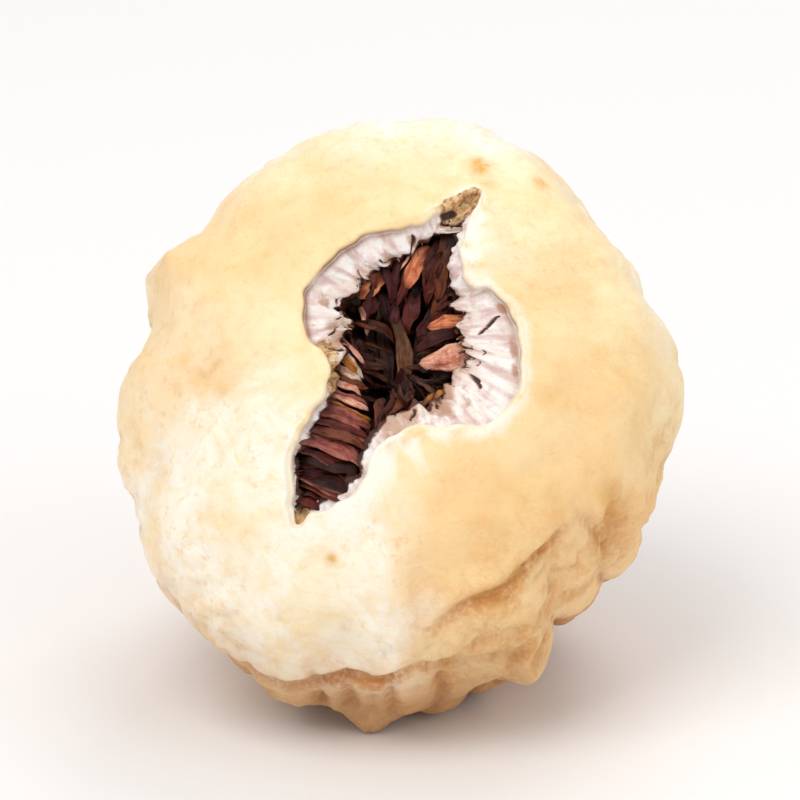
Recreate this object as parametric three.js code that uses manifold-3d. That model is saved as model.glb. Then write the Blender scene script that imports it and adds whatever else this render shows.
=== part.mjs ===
// A dried fig, whole and seedy, lying on its side on a level surface: one fruit, so one solid.
// Its eye has torn open in a ragged four-armed split, and the cut end of its stalk touches the
// surface behind it. The skin is shrunk over the flanks in ribs that run up to the stalk, and
// pressed flat underneath, where the fruit rests.
//
// Millimetres, +Z up, the eye facing -Y and up. The origin is on the surface, under the middle
// of the fruit's box.

import * as THREE from "three";
import { mergeVertices } from "three/addons/utils/BufferGeometryUtils.js";
import Module from "manifold-3d";

// Driving dimensions
const BODY_RADIUS = 15.5; // half the width, across the widest place
const EYE_RISE = 12; // from the widest place up to the eye
const STALK_REACH = 23; // from the widest place back to the cut end of the stalk
const BODY_OVAL = 1.07; // how much taller than wide the cross-section is
const AXIS_TILT = THREE.MathUtils.degToRad(39); // of the eye end above level, as the fruit lies
const FLAT_DEPTH = 0.9; // how much the side that it lies on is pressed in

// Shape of the skin
const STALK_RADIUS = 2.8;
const STALK_BEND = 1.6; // sideways, at the cut end
const BEND_START = 0.3 * STALK_REACH; // behind the widest place, where the stalk end turns aside
const RIB_COUNT = 18; // around the fruit, all running up to the stalk
const RIB_HEIGHT = 0.35; // either way from the mean surface
const RIBS_FROM = 0.5 * EYE_RISE; // before the widest place, where the ribs begin
const RIBS_FULL = 0.1 * STALK_REACH; // behind the widest place, where they reach their height
const LOBES = [
  // waves around the whole fruit: how many, how high, and where they start
  { count: 3, height: 0.2, phase: 0.9 },
  { count: 5, height: 0.2, phase: 2.2 },
];

// The split at the eye
const SPLIT_DEPTH = 8;
const SPLIT_FLOOR = 0.5; // width of the split at its bottom, as a share of its width at the skin
const SPLIT_CLEARANCE = 4; // how far what cuts the split stands out of the skin

// Mesh
const SEGMENTS = 72; // around the fruit
const RINGS = 40; // from the eye to the stalk
const SPLIT_STEPS = 5; // down the split
const SPLIT_SEGMENTS = 4; // on each stretch of the split's outline
const WELD = 1e-4; // vertices nearer than this are one

const wasm = await Module();
wasm.setup();

// A closed geometry as a solid that can be cut.
function solidOf(geometry) {
  const bare = geometry.clone().deleteAttribute("normal").deleteAttribute("uv");
  const merged = mergeVertices(bare, WELD);
  return new wasm.Manifold(
    new wasm.Mesh({
      numProp: 3,
      vertProperties: new Float32Array(merged.attributes.position.array),
      triVerts: new Uint32Array(merged.index.array),
    }),
  );
}

// A cut solid as a geometry again.
function geometryOf(solid) {
  const mesh = solid.getMesh();
  const geometry = new THREE.BufferGeometry();
  geometry.setAttribute(
    "position",
    new THREE.BufferAttribute(mesh.vertProperties, mesh.numProp),
  );
  geometry.setIndex(new THREE.BufferAttribute(mesh.triVerts, 1));
  geometry.computeVertexNormals();
  return geometry;
}

// Moves each vertex of a geometry as reshape says, in place.
function reshaped(geometry, reshape) {
  const position = geometry.attributes.position;
  const point = new THREE.Vector3();
  for (let i = 0; i < position.count; i++) {
    reshape(point.fromBufferAttribute(position, i));
    position.setXYZ(i, point.x, point.y, point.z);
  }
  return geometry;
}

// Half the fruit's outline, from the stalk to the eye: distance from the axis, height along it.
// The stalk end is a slumped cone that draws in to the stalk; the eye end is a flattened dome.
function skinOutline() {
  const stalk = [
    [0, -STALK_REACH],
    [0.8 * STALK_RADIUS, -0.99 * STALK_REACH],
    [STALK_RADIUS, -0.95 * STALK_REACH],
    [1.2 * STALK_RADIUS, -0.86 * STALK_REACH],
  ];
  const cone = [
    [0.38 * BODY_RADIUS, -0.74 * STALK_REACH],
    [0.6 * BODY_RADIUS, -0.59 * STALK_REACH],
    [0.82 * BODY_RADIUS, -0.4 * STALK_REACH],
    [0.95 * BODY_RADIUS, -0.2 * STALK_REACH],
    [BODY_RADIUS, 0],
  ];
  const dome = [
    [0.96 * BODY_RADIUS, 0.36 * EYE_RISE],
    [0.82 * BODY_RADIUS, 0.7 * EYE_RISE],
    [0.56 * BODY_RADIUS, 0.91 * EYE_RISE],
    [0.27 * BODY_RADIUS, 0.985 * EYE_RISE],
    [0, EYE_RISE],
  ];
  const points = [...stalk, ...cone, ...dome].map(([x, y]) => new THREE.Vector2(x, y));
  const outline = new THREE.SplineCurve(points);
  return outline.getSpacedPoints(RINGS).map((p) => new THREE.Vector2(Math.abs(p.x), p.y));
}

// The whole skin, standing on +Y: the outline turned about the axis, then made oval, lobed,
// ribbed and bent at the stalk.
function skin() {
  const lathe = new THREE.LatheGeometry(skinOutline(), SEGMENTS);
  return reshaped(lathe, (point) => {
    const angle = Math.atan2(point.x, -point.z);
    const radius = Math.hypot(point.x, point.z);
    const fullness = radius / BODY_RADIUS;
    const flank = THREE.MathUtils.smoothstep(-point.y, -RIBS_FROM, RIBS_FULL);
    let swelling = RIB_HEIGHT * flank * Math.cos(RIB_COUNT * angle);
    for (const lobe of LOBES) {
      swelling += lobe.height * Math.cos(lobe.count * angle + lobe.phase);
    }
    const grown = radius + swelling * fullness;
    const bend = THREE.MathUtils.smoothstep(-point.y, BEND_START, STALK_REACH);
    point.x = grown * Math.sin(angle) + STALK_BEND * bend;
    point.z = -grown * Math.cos(angle) * THREE.MathUtils.lerp(1, BODY_OVAL, fullness);
  });
}

// The split's outline at the skin, looking at the eye: two long torn points, and a round lobe
// on each side of the eye.
function splitOutline() {
  const rightTear = [
    [3.5, 5],
    [5.8, 2.4],
    [6.5, -1.4],
    [4.6, -4.5],
    [0.7, -4.8],
    [-1.8, -7.4],
    [-5.4, -10.5],
  ];
  const leftTear = [
    [-5.7, -6.4],
    [-3.9, -1.8],
    [-5.2, 1.9],
    [-3.2, 5.2],
    [1.4, 7],
    [4.6, 9.3],
  ];
  const outline = new THREE.Shape();
  outline.moveTo(4.6, 9.3);
  outline.splineThru(rightTear.map(([x, y]) => new THREE.Vector2(x, y)));
  outline.splineThru(leftTear.map(([x, y]) => new THREE.Vector2(x, y)));
  return outline;
}

// What the split takes out of the fruit: its outline carried down the axis, narrowing as it goes.
function splitVoid() {
  const plug = new THREE.ExtrudeGeometry(splitOutline(), {
    depth: SPLIT_DEPTH + SPLIT_CLEARANCE,
    steps: SPLIT_STEPS,
    curveSegments: SPLIT_SEGMENTS,
    bevelEnabled: false,
  });
  reshaped(plug, (point) => {
    const sunk = THREE.MathUtils.clamp((SPLIT_DEPTH - point.z) / SPLIT_DEPTH, 0, 1);
    const width = THREE.MathUtils.lerp(1, SPLIT_FLOOR, sunk * sunk);
    point.x *= width;
    point.y *= width;
  });
  plug.rotateX(-Math.PI / 2);
  plug.translate(0, EYE_RISE - SPLIT_DEPTH, 0);
  return plug;
}

// Everything below the surface that the fruit lies on, as a slab with room to spare.
function pressedAway(lowest) {
  const side = 4 * BODY_RADIUS;
  const slab = new THREE.BoxGeometry(side, side, side);
  slab.translate(0, 0, lowest + FLAT_DEPTH - side / 2);
  return slab;
}

function figGeometry() {
  const fruit = geometryOf(solidOf(skin()).subtract(solidOf(splitVoid())));
  fruit.rotateX(Math.PI - AXIS_TILT);
  fruit.computeBoundingBox();
  const resting = geometryOf(
    solidOf(fruit).subtract(solidOf(pressedAway(fruit.boundingBox.min.z))),
  );
  resting.computeBoundingBox();
  const { min, max } = resting.boundingBox;
  resting.translate(-(min.x + max.x) / 2, -(min.y + max.y) / 2, -min.z);
  return resting;
}

const figSkin = new THREE.MeshStandardMaterial({
  color: 0xf2d9a6,
  roughness: 0.55,
  metalness: 0,
});

const group = new THREE.Group();
const fig = new THREE.Mesh(figGeometry(), figSkin);
fig.name = "fig";
group.add(fig);

export default group;
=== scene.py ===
import bpy
import numpy as np
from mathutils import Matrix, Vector


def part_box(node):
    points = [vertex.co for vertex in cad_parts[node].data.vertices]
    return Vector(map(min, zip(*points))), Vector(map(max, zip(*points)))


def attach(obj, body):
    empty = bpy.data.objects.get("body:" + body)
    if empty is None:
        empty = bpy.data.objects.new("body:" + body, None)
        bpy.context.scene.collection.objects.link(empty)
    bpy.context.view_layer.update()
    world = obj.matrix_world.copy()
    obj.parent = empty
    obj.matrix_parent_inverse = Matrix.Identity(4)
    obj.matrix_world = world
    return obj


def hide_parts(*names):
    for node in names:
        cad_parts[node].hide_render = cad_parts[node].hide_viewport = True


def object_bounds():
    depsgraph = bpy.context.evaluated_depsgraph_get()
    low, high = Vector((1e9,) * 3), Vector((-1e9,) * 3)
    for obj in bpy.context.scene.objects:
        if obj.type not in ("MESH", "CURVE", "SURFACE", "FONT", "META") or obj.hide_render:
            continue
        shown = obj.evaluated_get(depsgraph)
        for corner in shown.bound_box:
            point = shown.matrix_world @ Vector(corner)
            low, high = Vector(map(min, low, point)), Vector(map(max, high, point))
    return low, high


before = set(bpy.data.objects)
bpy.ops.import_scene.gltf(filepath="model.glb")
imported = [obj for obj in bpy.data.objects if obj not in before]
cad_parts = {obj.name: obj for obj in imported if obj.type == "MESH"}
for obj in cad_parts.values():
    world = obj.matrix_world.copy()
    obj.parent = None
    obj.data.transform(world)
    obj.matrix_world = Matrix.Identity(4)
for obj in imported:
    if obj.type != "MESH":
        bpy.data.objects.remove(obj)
cad_low, cad_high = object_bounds()
fig_low, fig_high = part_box("fig")

# --- Fruit -----------------------------------------------------------------------------------
# One whole fig, sun-dried: a thin skin over white rind and pulp. As it dried, the flanks shrank
# into ribs that run up to the stalk, the eye end stayed smooth, and the eye tore open.
# All of it is one closed surface: skin, rolled lip of the tear, rind, and the hollow inside.

# Sizes in mm. Each kind of lobe: how many go round, how high they stand, and where they start.
MM = 0.001
BODY_RADIUS = 15.5
EYE_RISE = 12
STALK_REACH = 23
BODY_OVAL = 1.07
AXIS_TILT = np.radians(39)
PRESSED = 1.25
STALK_RADIUS = 2.8
STALK_BEND = 1.6
LOBES = ((3, 0.2, 0.9), (5, 0.2, 2.2))

# The surface is a grid: columns all round the tear, and rows that run from the floor of the hollow
# up the rind, over the lip, out across the eye end and down the flanks to the stalk.
COLUMNS = 432
SHEET_ROWS = 72
FLANK_ROWS = 76
BEAD_ROWS = 9
RIND_ROWS = 34
HOLLOW_ROWS = 30


def smoothstep(value, start, end):
    """Rises from 0 at start to 1 at end: three times the share squared, less twice its cube."""
    share = np.clip((value - start) / (end - start), 0, 1)
    return share * share * (3 - 2 * share)


def bell(value):
    """1 at nought, dying away on both sides: e to the minus square."""
    return np.exp(-(value**2))


def length(vectors):
    """Length of each vector: the root of the sum of its squares."""
    return np.linalg.norm(vectors, axis=-1)


def unit(vectors):
    """Each vector divided by its length."""
    return vectors / length(vectors)[..., None]


def drawn_through(points, steps, closed):
    """A cubic between each two points, level with the line through their neighbours, in steps."""
    points = np.asarray(points, float)
    if closed:
        knots = np.vstack([points[-1:], points, points[:2]])
    else:
        knots = np.vstack([points[:1], points, points[-1:]])
    before, here, there, after = knots[:-3, None], knots[1:-2, None], knots[2:-1, None], knots[3:, None]
    t = np.linspace(0, 1, steps, endpoint=False)[:, None]
    curve = here + 0.5 * t * (there - before)
    curve = curve + 0.5 * t**2 * (2 * before - 5 * here + 4 * there - after)
    curve = curve + 0.5 * t**3 * (3 * here - before - 3 * there + after)
    curve = curve.reshape(-1, points.shape[1])
    return curve if closed else np.vstack([curve, points[-1:]])


def run_along(curve):
    """Distance along a curve to each of its points."""
    return np.concatenate([[0], np.cumsum(length(np.diff(curve, axis=0)))])


def drift(points, size, seed, waves=24):
    """A smooth random value at each point, about -1 to 1: plane waves some size long, added up."""
    draw = np.random.default_rng(seed)
    heading = unit(draw.normal(size=(waves, points.shape[-1])))
    pitch = 2 * np.pi / (size * draw.uniform(0.75, 1.4, waves))
    start = draw.uniform(0, 2 * np.pi, waves)
    phase = points @ (heading * pitch[:, None]).T + start
    return np.cos(phase).sum(-1) * np.sqrt(2 / waves) / 1.6


# Half the outline of the skin, eye to stalk: distance from the axis as a share of the radius of the
# body or the stalk, and height along it as a share of the eye's rise or the stalk's reach.
OUTLINE = np.array([
    (0, 1), (0.27, 0.985), (0.56, 0.91), (0.82, 0.7), (0.96, 0.36), (1, 0), (0.95, -0.2), (0.82, -0.4),
    (0.6, -0.59), (0.38, -0.74), (1.2, -0.86), (1, -0.95), (0.8, -0.99), (0, -1),
])
EYE_SPANS, STALK_FROM, SPAN_STEPS = 5, 10, 100
OUTLINE[:STALK_FROM, 0] *= BODY_RADIUS
OUTLINE[STALK_FROM:, 0] *= STALK_RADIUS
OUTLINE[:EYE_SPANS, 1] *= EYE_RISE
OUTLINE[EYE_SPANS:, 1] *= STALK_REACH
outline = drawn_through(OUTLINE, SPAN_STEPS, closed=False)
outline[:, 0] = np.abs(outline[:, 0])
outline_run = run_along(outline)
TOTAL_RUN = outline_run[-1]
eye_end = slice(EYE_SPANS * SPAN_STEPS + 1)
WIDEST_RUN = np.interp(BODY_RADIUS, outline[eye_end, 0], outline_run[eye_end])


def mean_skin(angle, run):
    """The outline at that run from the eye, turned about the axis, made oval, lobed, and bent
    at the stalk. Right, up and along the axis, in mm; the angle is clockwise from up."""
    radius = np.interp(run, outline_run, outline[:, 0])
    along = np.interp(run, outline_run, outline[:, 1])
    fullness = radius / BODY_RADIUS
    swelling = sum(height * np.cos(count * angle + phase) for count, height, phase in LOBES)
    grown = radius + swelling * fullness
    bend = smoothstep(-along, 0.3 * STALK_REACH, STALK_REACH)
    right = grown * np.sin(angle) + STALK_BEND * bend
    up = grown * np.cos(angle) * (1 + (BODY_OVAL - 1) * fullness)
    return np.stack([right, up, along], -1)


def skin_frame(angle, run):
    """Outward normal, and the directions around the fruit and towards the stalk: differences of
    the mean skin over short steps, and their cross product."""
    step = 0.25
    turn = step / np.maximum(np.interp(run, outline_run, outline[:, 0]), 0.5)
    inner = np.clip(run, step, TOTAL_RUN - step)
    around = unit(mean_skin(angle + turn, inner) - mean_skin(angle - turn, inner))
    down = unit(mean_skin(angle, inner + step) - mean_skin(angle, inner - step))
    return unit(np.cross(around, down)), around, down


# The tear, clockwise from its upper tip, looking at the eye: the edge of the skin (right, up),
# the inner edge of the rind (right, up), how far under the skin that lies, how much of the rind is
# still white, how far the skin beside it is pale, partly as a painted highlight, and how brown the
# cut edge of the skin is.
TEAR = np.array([
    (4.35, 9.55, 2.9, 7.4, 0.55, 0, 0.5, 0),
    (4.6, 9.3, 3, 7.4, 0.6, 0.05, 0.55, 0),
    (4.3, 8.4, 3.1, 7.1, 0.8, 0.2, 0.8, 0),
    (3.75, 7.3, 3.2, 6.6, 1.1, 0.45, 1.2, 0),
    (3.4, 4.9, 3.1, 5, 1.8, 0.65, 1.2, 0),
    (3.9, 3.4, 3, 3.6, 1.9, 0.85, 0.8, 0.1),
    (5.2, 3.1, 3.2, 2.7, 1.7, 0.95, 0.4, 0.6),
    (6.2, 1.6, 3.5, 1.6, 1.6, 0.97, 0.4, 0.8),
    (6.6, -0.6, 3.6, 0.3, 1.6, 0.97, 0.4, 0.8),
    (6.2, -2.9, 3.5, -0.9, 1.6, 0.97, 0.4, 0.5),
    (4.8, -4.4, 2.6, -2.1, 1.5, 0.95, 0.5, 0.1),
    (3, -4.7, 1.6, -3, 1.2, 0.8, 0.7, 0),
    (0.8, -4.8, 0.4, -3.7, 0.9, 0.55, 1.1, 0),
    (-1.2, -5.8, -1.4, -5, 0.7, 0.4, 1.5, 0),
    (-1.8, -7.4, -2.1, -6.6, 0.7, 0.3, 1.6, 0),
    (-3.2, -8.7, -3.4, -8, 0.7, 0.3, 1.4, 0),
    (-4.75, -9.1, -4.7, -8.5, 0.5, 0.2, 0.9, 0),
    (-5.3, -9.65, -5.15, -8.9, 0.3, 0.1, 0.5, 0.1),
    (-5.58, -9.6, -5.4, -8.85, 0.3, 0.1, 0.5, 0.1),
    (-5.68, -8.7, -5.5, -8.1, 0.6, 0.1, 0.4, 0.1),
    (-5.7, -6.3, -5.6, -6.1, 0.8, 0.1, 0.4, 0.1),
    (-4.9, -4.4, -4.6, -4, 1.2, 0.2, 0.3, 0.1),
    (-3.9, -2.6, -3.5, -2.2, 1.6, 0.45, 0.25, 0.1),
    (-3.9, -0.7, -3.2, -0.2, 1.7, 0.6, 0.15, 0.3),
    (-4.8, 0.1, -2.9, 1, 1.7, 0.9, 0.1, 1),
    (-5.3, 1.6, -2.7, 1.7, 1.7, 0.95, 0.1, 1),
    (-5.25, 2.7, -3.4, 2.45, 1.5, 0.95, 0.1, 1),
    (-4.8, 3.8, -2.5, 3.5, 1.7, 0.95, 0.1, 1),
    (-3.4, 5.2, -1.6, 4.6, 1.8, 0.9, 0.1, 1),
    (-1.2, 6.5, -0.2, 5.6, 1.8, 0.8, 0.1, 0.8),
    (1, 7, 1.2, 6.3, 1.6, 0.6, 0.2, 0.3),
    (2.4, 8.1, 2.4, 7.2, 0.9, 0.2, 0.4, 0),
])
tear = drawn_through(TEAR, 40, closed=True)
tear_run = run_along(np.vstack([tear, tear[:1]])[:, :2])
column_run = np.linspace(0, tear_run[-1], COLUMNS, endpoint=False)
by_column = np.stack([np.interp(column_run, tear_run, np.append(v, v[0])) for v in tear.T], -1)
edge, throat = by_column[:, :2], by_column[:, 2:4]
throat_depth, white_share, lip_pale_and_lit, browned = by_column[:, 4:].T
lip_pale_and_lit = np.maximum(lip_pale_and_lit, 0.1)


def ring_turns(count):
    """That many angles, evenly round a full turn from 0."""
    return 2 * np.pi * np.arange(count) / count


column_turn = ring_turns(COLUMNS)
column_circle = np.stack([np.cos(column_turn), np.sin(column_turn)], -1) * tear_run[-1] / (2 * np.pi)


def eased(curve, spread):
    """A closed curve with each point averaged with its neighbours, by a Gaussian in points."""
    order = np.fft.fftfreq(len(curve))
    keep = np.exp(-0.5 * (2 * np.pi * order * spread) ** 2)
    return np.fft.ifft(np.fft.fft(curve, axis=0) * keep[:, None], axis=0).real


def outward(curve, spread=1.5):
    """In-plane normal of a closed clockwise curve, away from its inside: the step of the eased
    curve, turned left."""
    smooth = eased(curve, spread)
    step = np.roll(smooth, -1, 0) - np.roll(smooth, 1, 0)
    return unit(np.stack([-step[:, 1], step[:, 0]], -1))


# The torn edge is ragged: short waves in and out.
ragged = 0.10 * drift(column_circle, 1.6, 11) + 0.05 * drift(column_circle, 0.6, 12)
edge = eased(edge + outward(edge) * ragged[:, None], 1.5)
tattered = 0.20 * drift(column_circle, 1.7, 13) + 0.14 * drift(column_circle, 0.7, 14)
throat = throat + outward(eased(throat, 4), 3) * tattered[:, None]


def flattened(points):
    """Where points near the eye lie on the skin laid flat: their run from the eye, in the
    direction of their angle."""
    true_up = points[:, 1] / (1 + (BODY_OVAL - 1) * length(points) / BODY_RADIUS)
    radius = np.hypot(points[:, 0], true_up)
    run = np.interp(radius, outline[eye_end, 0], outline_run[eye_end])
    return np.stack([points[:, 0], true_up], -1) * (run / radius)[:, None]


def skin_level(places):
    """Height along the axis of the skin over places (right, up) on the eye end."""
    return np.interp(length(places), outline[eye_end, 0], outline[eye_end, 1])


def sheet_between(inner, outer_radius, rows):
    """Rows from a closed curve out to a circle, as a soap film would share them: each Fourier
    part of the curve dies away as a hyperbolic sine, and that of the circle grows."""
    curve = inner[:, 0] + 1j * inner[:, 1]
    lead = np.angle(np.mean(curve * np.exp(1j * column_turn)))
    circle = outer_radius * np.exp(1j * (lead - column_turn))
    span = np.log(outer_radius / np.abs(curve).mean())
    share = np.linspace(0, 1, rows)[:, None] ** 1.15
    reach = np.maximum(np.abs(np.fft.fftfreq(COLUMNS, 1 / COLUMNS)), 1e-3)[None] * span

    def grown(share):
        """The hyperbolic sine of the reach times the share, over that of the reach."""
        return np.exp(-reach * (1 - share)) * (1 - np.exp(-2 * reach * share)) / (1 - np.exp(-2 * reach))

    spectrum = np.fft.fft(curve) * grown(1 - share) + np.fft.fft(circle) * grown(share)
    film = np.fft.ifft(spectrum, axis=1)
    return np.stack([film.real, film.imag], -1)


def untangled(grid, rounds):
    """Rows between the first and the last moved to where the lines of the grid balance: the second
    differences along each row and each column, weighted by the square of the other's step, less
    twice their product times the mixed difference (Winslow's equations). No face is left folded."""
    for _ in range(rounds):
        left, right = np.roll(grid, 1, 1), np.roll(grid, -1, 1)
        along_row = 0.5 * (right - left)[1:-1]
        along_column = 0.5 * (grid[2:] - grid[:-2])
        row_weight = (along_column**2).sum(-1, keepdims=True)
        column_weight = (along_row**2).sum(-1, keepdims=True)
        product = (along_row * along_column).sum(-1, keepdims=True)
        mixed = 0.25 * (right[2:] - left[2:] - right[:-2] + left[:-2])
        balance = row_weight * (right + left)[1:-1] + column_weight * (grid[2:] + grid[:-2])
        balance = (balance - 2 * product * mixed) / (2 * (row_weight + column_weight))
        grid = np.concatenate([grid[:1], 0.2 * grid[1:-1] + 0.8 * balance, grid[-1:]])
    return grid


# Skin rows: the first few follow the lip, then a sheet spreads to the widest part, then rings
# run down to the cut end of the stalk.
LIP_BEAD = 0.32
UNTANGLING_ROUNDS = 500
lip_flat = flattened(edge)
lip_out = outward(lip_flat, 4)
lip_step = (np.roll(lip_out, -3, 0) - np.roll(lip_out, 3, 0)) / (6 * column_run[1])
bead_size = eased(np.clip(0.24 / np.maximum(length(lip_step), 0.1), 0.07, LIP_BEAD)[:, None], 5)
lip_rows = lip_flat[None] + lip_out[None] * bead_size[None] * np.array([1.0, 1.2, 1.45])[:, None, None]
sheet_rows = sheet_between(lip_flat + lip_out * bead_size * 1.7, WIDEST_RUN, SHEET_ROWS)
near_flat = untangled(np.concatenate([lip_rows, sheet_rows]), UNTANGLING_ROUNDS)
near_run = length(near_flat)
near_angle = np.unwrap(np.arctan2(near_flat[..., 0], near_flat[..., 1]), axis=1)
ring_run = WIDEST_RUN + (TOTAL_RUN - WIDEST_RUN) * np.linspace(0, 1, FLANK_ROWS + 2)[1:-1]
flank_run = np.repeat(ring_run[:, None], COLUMNS, 1)
flank_angle = np.repeat(near_angle[-1:], FLANK_ROWS, 0)
skin_run = np.concatenate([near_run, flank_run])
skin_angle = np.concatenate([near_angle, flank_angle])
skin_points = mean_skin(skin_angle, skin_run)
skin_normal, skin_around, skin_down = skin_frame(skin_angle, skin_run)


def past(start, end):
    """0 on the skin up to that run from the eye, rising to 1 at the end and beyond."""
    return smoothstep(skin_run, start, end)


def wave_patches(points, centres, waves, reach, phases):
    """Plane waves, each in a round Gaussian patch about its centre, added up as one complex
    number a point: its angle is where the point lies between two crests."""
    total = np.zeros(len(points), np.complex64)
    for first in range(0, len(centres), 12):
        some = slice(first, first + 12)
        offset = points[:, None] - centres[None, some]
        weight = np.exp(-(offset**2).sum(-1) / (2 * reach[some] ** 2))
        phase = np.einsum("psk,sk->ps", offset, waves[some]) + phases[some]
        total += (weight * np.exp(1j * phase)).sum(1)
    return total


IN_STEP_ROUNDS = 14


def shrink_ribs(count, pitch, wander, seed):
    """Ribs of a shrunk skin: count patches of waves whose crests run to the stalk, a pitch apart, and
    wander. Each patch is put in step with its neighbours, so ribs join and fork between them.
    Returns the height, an arch between two sharp creases, the lean away from the crest, and how
    clearly there are ribs at all: less where patches cancel out."""
    draw = np.random.default_rng(seed)
    flat_points = skin_points.reshape(-1, 3).astype(np.float32)
    ring_step = length(np.roll(skin_points, -1, 1) - skin_points)
    row_step = length(np.gradient(skin_points, axis=0))
    crowding = (1 / pitch**2 * (skin_run > 9) * (ring_step * row_step)).ravel()
    chosen = draw.choice(len(flat_points), count, p=crowding / crowding.sum())
    centres = flat_points[chosen]
    tilt = wander.ravel()[chosen, None]
    across = skin_around.reshape(-1, 3)[chosen] * np.cos(tilt)
    across = across + skin_down.reshape(-1, 3)[chosen] * np.sin(tilt)
    pitches = pitch.ravel()[chosen]
    waves = (across * (2 * np.pi / pitches)[:, None]).astype(np.float32)
    reach = (0.75 * pitches).astype(np.float32)
    phases = draw.uniform(0, 2 * np.pi, count).astype(np.float32)
    for _ in range(IN_STEP_ROUNDS):
        phases = np.angle(wave_patches(centres, centres, waves, reach, phases)).astype(np.float32)
    field = wave_patches(flat_points, centres, waves, reach, phases).reshape(skin_run.shape)
    strength = smoothstep(np.abs(field), 0.1, 1.1)
    phase = np.angle(field)
    arch = 2 * np.sqrt(0.5 + 0.5 * np.cos(phase) + 0.004) - 1.27
    return arch * strength, np.sin(phase) * strength, strength


# Three sets of them: ribs that run to the stalk, broad folds under them, and knots across them. One
# place below the eye end is calmer, and two on the flanks are tucked in.
RIB_PITCH, FOLD_PITCH, KNOT_PITCH = 3.6, 8, 4.6
RIB_HEIGHT, FOLD_HEIGHT, KNOT_HEIGHT = 0.62, 0.5, 0.34
RIB_PATCHES, FOLD_PATCHES, KNOT_PATCHES = 1200, 260, 600
CALM_PLACE, CALM_WIDTH = (np.radians(184), np.array(22.5)), 5.5
mood = drift(skin_points, 14, 21)
swirl = drift(skin_points, 9, 22)
rib_start = 17.3 - 0.8 * np.cos(skin_angle - np.radians(140))
flank = past(rib_start, rib_start + 7.5)
turn_degrees = np.degrees(skin_angle) % 360
tucked = 1.5 * bell((turn_degrees - 234) / 24) + bell((turn_degrees - 98) / 32)
tucked = tucked * past(20.3, 25) * (1 - past(27, 37))
calm = 1 - 0.75 * bell((length((skin_points - mean_skin(*CALM_PLACE)) * (0.55, 1, 1)) / CALM_WIDTH) ** 2)
calm = calm * (1 - 0.5 * np.minimum(tucked, 1))
stalkness = past(38, 46)
girth = 2 * np.pi * np.maximum(np.interp(skin_run, outline_run, outline[:, 0]), 1.5)

rib_pitch = np.minimum(RIB_PITCH, girth / 12) * (1 + 0.2 * mood)
rib_wander = (0.3 + 0.7 * smoothstep(mood, -0.1, 0.7)) * swirl * (1 - 0.85 * stalkness)
ribs, rib_lean, rib_strength = shrink_ribs(RIB_PATCHES, rib_pitch, rib_wander, 31)
fold_pitch = np.minimum(FOLD_PITCH, girth / 5)
folds, _, fold_strength = shrink_ribs(FOLD_PATCHES, fold_pitch, 0.7 * swirl * (1 - stalkness), 32)
knot_pitch = np.minimum(KNOT_PITCH, girth / 8)
knots, knot_lean, _ = shrink_ribs(KNOT_PATCHES, knot_pitch, np.pi / 2 + 0.6 * swirl, 33)

rib_height = RIB_HEIGHT * flank * calm * (0.5 + 0.5 * past(21, 30)) * (rib_pitch / RIB_PITCH) ** 0.8
fold_height = FOLD_HEIGHT * past(rib_start + 1, rib_start + 9) * (fold_pitch / FOLD_PITCH)
fold_height = fold_height * (1 - 0.8 * stalkness) * (1 - 0.6 * np.minimum(tucked, 1))
knot_share = flank * calm * smoothstep(mood, -0.3, 0.6) * (1 - stalkness)
relief = rib_height * (ribs - 0.35) + fold_height * (folds - 0.3)
relief += KNOT_HEIGHT * knot_share * (knots - 0.3) + 0.10 * drift(skin_points, 7, 24) - tucked

# Across the ribs the skin leans away from each crest: the crests grow round and the creases close.
rib_shift = 0.5 * rib_pitch / (2 * np.pi) * flank * calm * rib_lean
knot_shift = 0.7 * knot_pitch / (2 * np.pi) * KNOT_HEIGHT * knot_share * knot_lean
lean = rib_shift[..., None] * skin_around + knot_shift[..., None] * skin_down

# The rim of the eye end isn't round: angle in degrees clockwise from up, and how far it stands out.
RIM = np.array([
    (0, 0.15), (18, 0.7), (30, 0.55), (42, -0.2), (53, -0.8), (61, 0.1), (70, -0.3), (80, 0.8),
    (96, 0.35), (106, -0.4), (116, 0), (126, -0.55), (140, -1.05), (151, 0.5), (166, 0.3), (180, 0.4),
    (192, 0.1), (204, 0.9), (220, 1.35), (236, 1.25), (250, 0.3), (266, 0.2), (275, 0.1), (285, -1.05),
    (297, 0.95), (307, -0.75), (326, -0.5), (334, -0.9), (352, 0.05),
])
rim_out = np.interp(turn_degrees, RIM[:, 0], RIM[:, 1], period=360)
rim_out = eased(rim_out.T, 2.5).T
relief += rim_out * past(11, 18.5) * (1 - past(24, 33))

# Broad dents and swells of the eye end: place (angle, run from the eye), half width, height.
SWELLS = (
    (70, 11.5, 3.2, -0.35), (95, 14.5, 3, 0.25), (112, 11, 3.2, -0.25), (140, 11.5, 3, 0.3),
    (172, 12.5, 2.6, -0.35), (200, 14.5, 4, 0.3), (228, 12.5, 3.5, 0.25), (252, 15.5, 2.6, -0.35),
    (275, 11.5, 3, -0.25), (292, 14.5, 2.8, 0.3), (315, 12, 3, -0.25), (345, 13, 3.2, 0.25),
    (15, 11.5, 2.6, -0.3), (40, 15, 3, 0.25), (150, 17, 2.6, 0.35), (123, 16.4, 1.1, -0.45),
    (126, 18.4, 0.8, -0.35),
)
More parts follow.
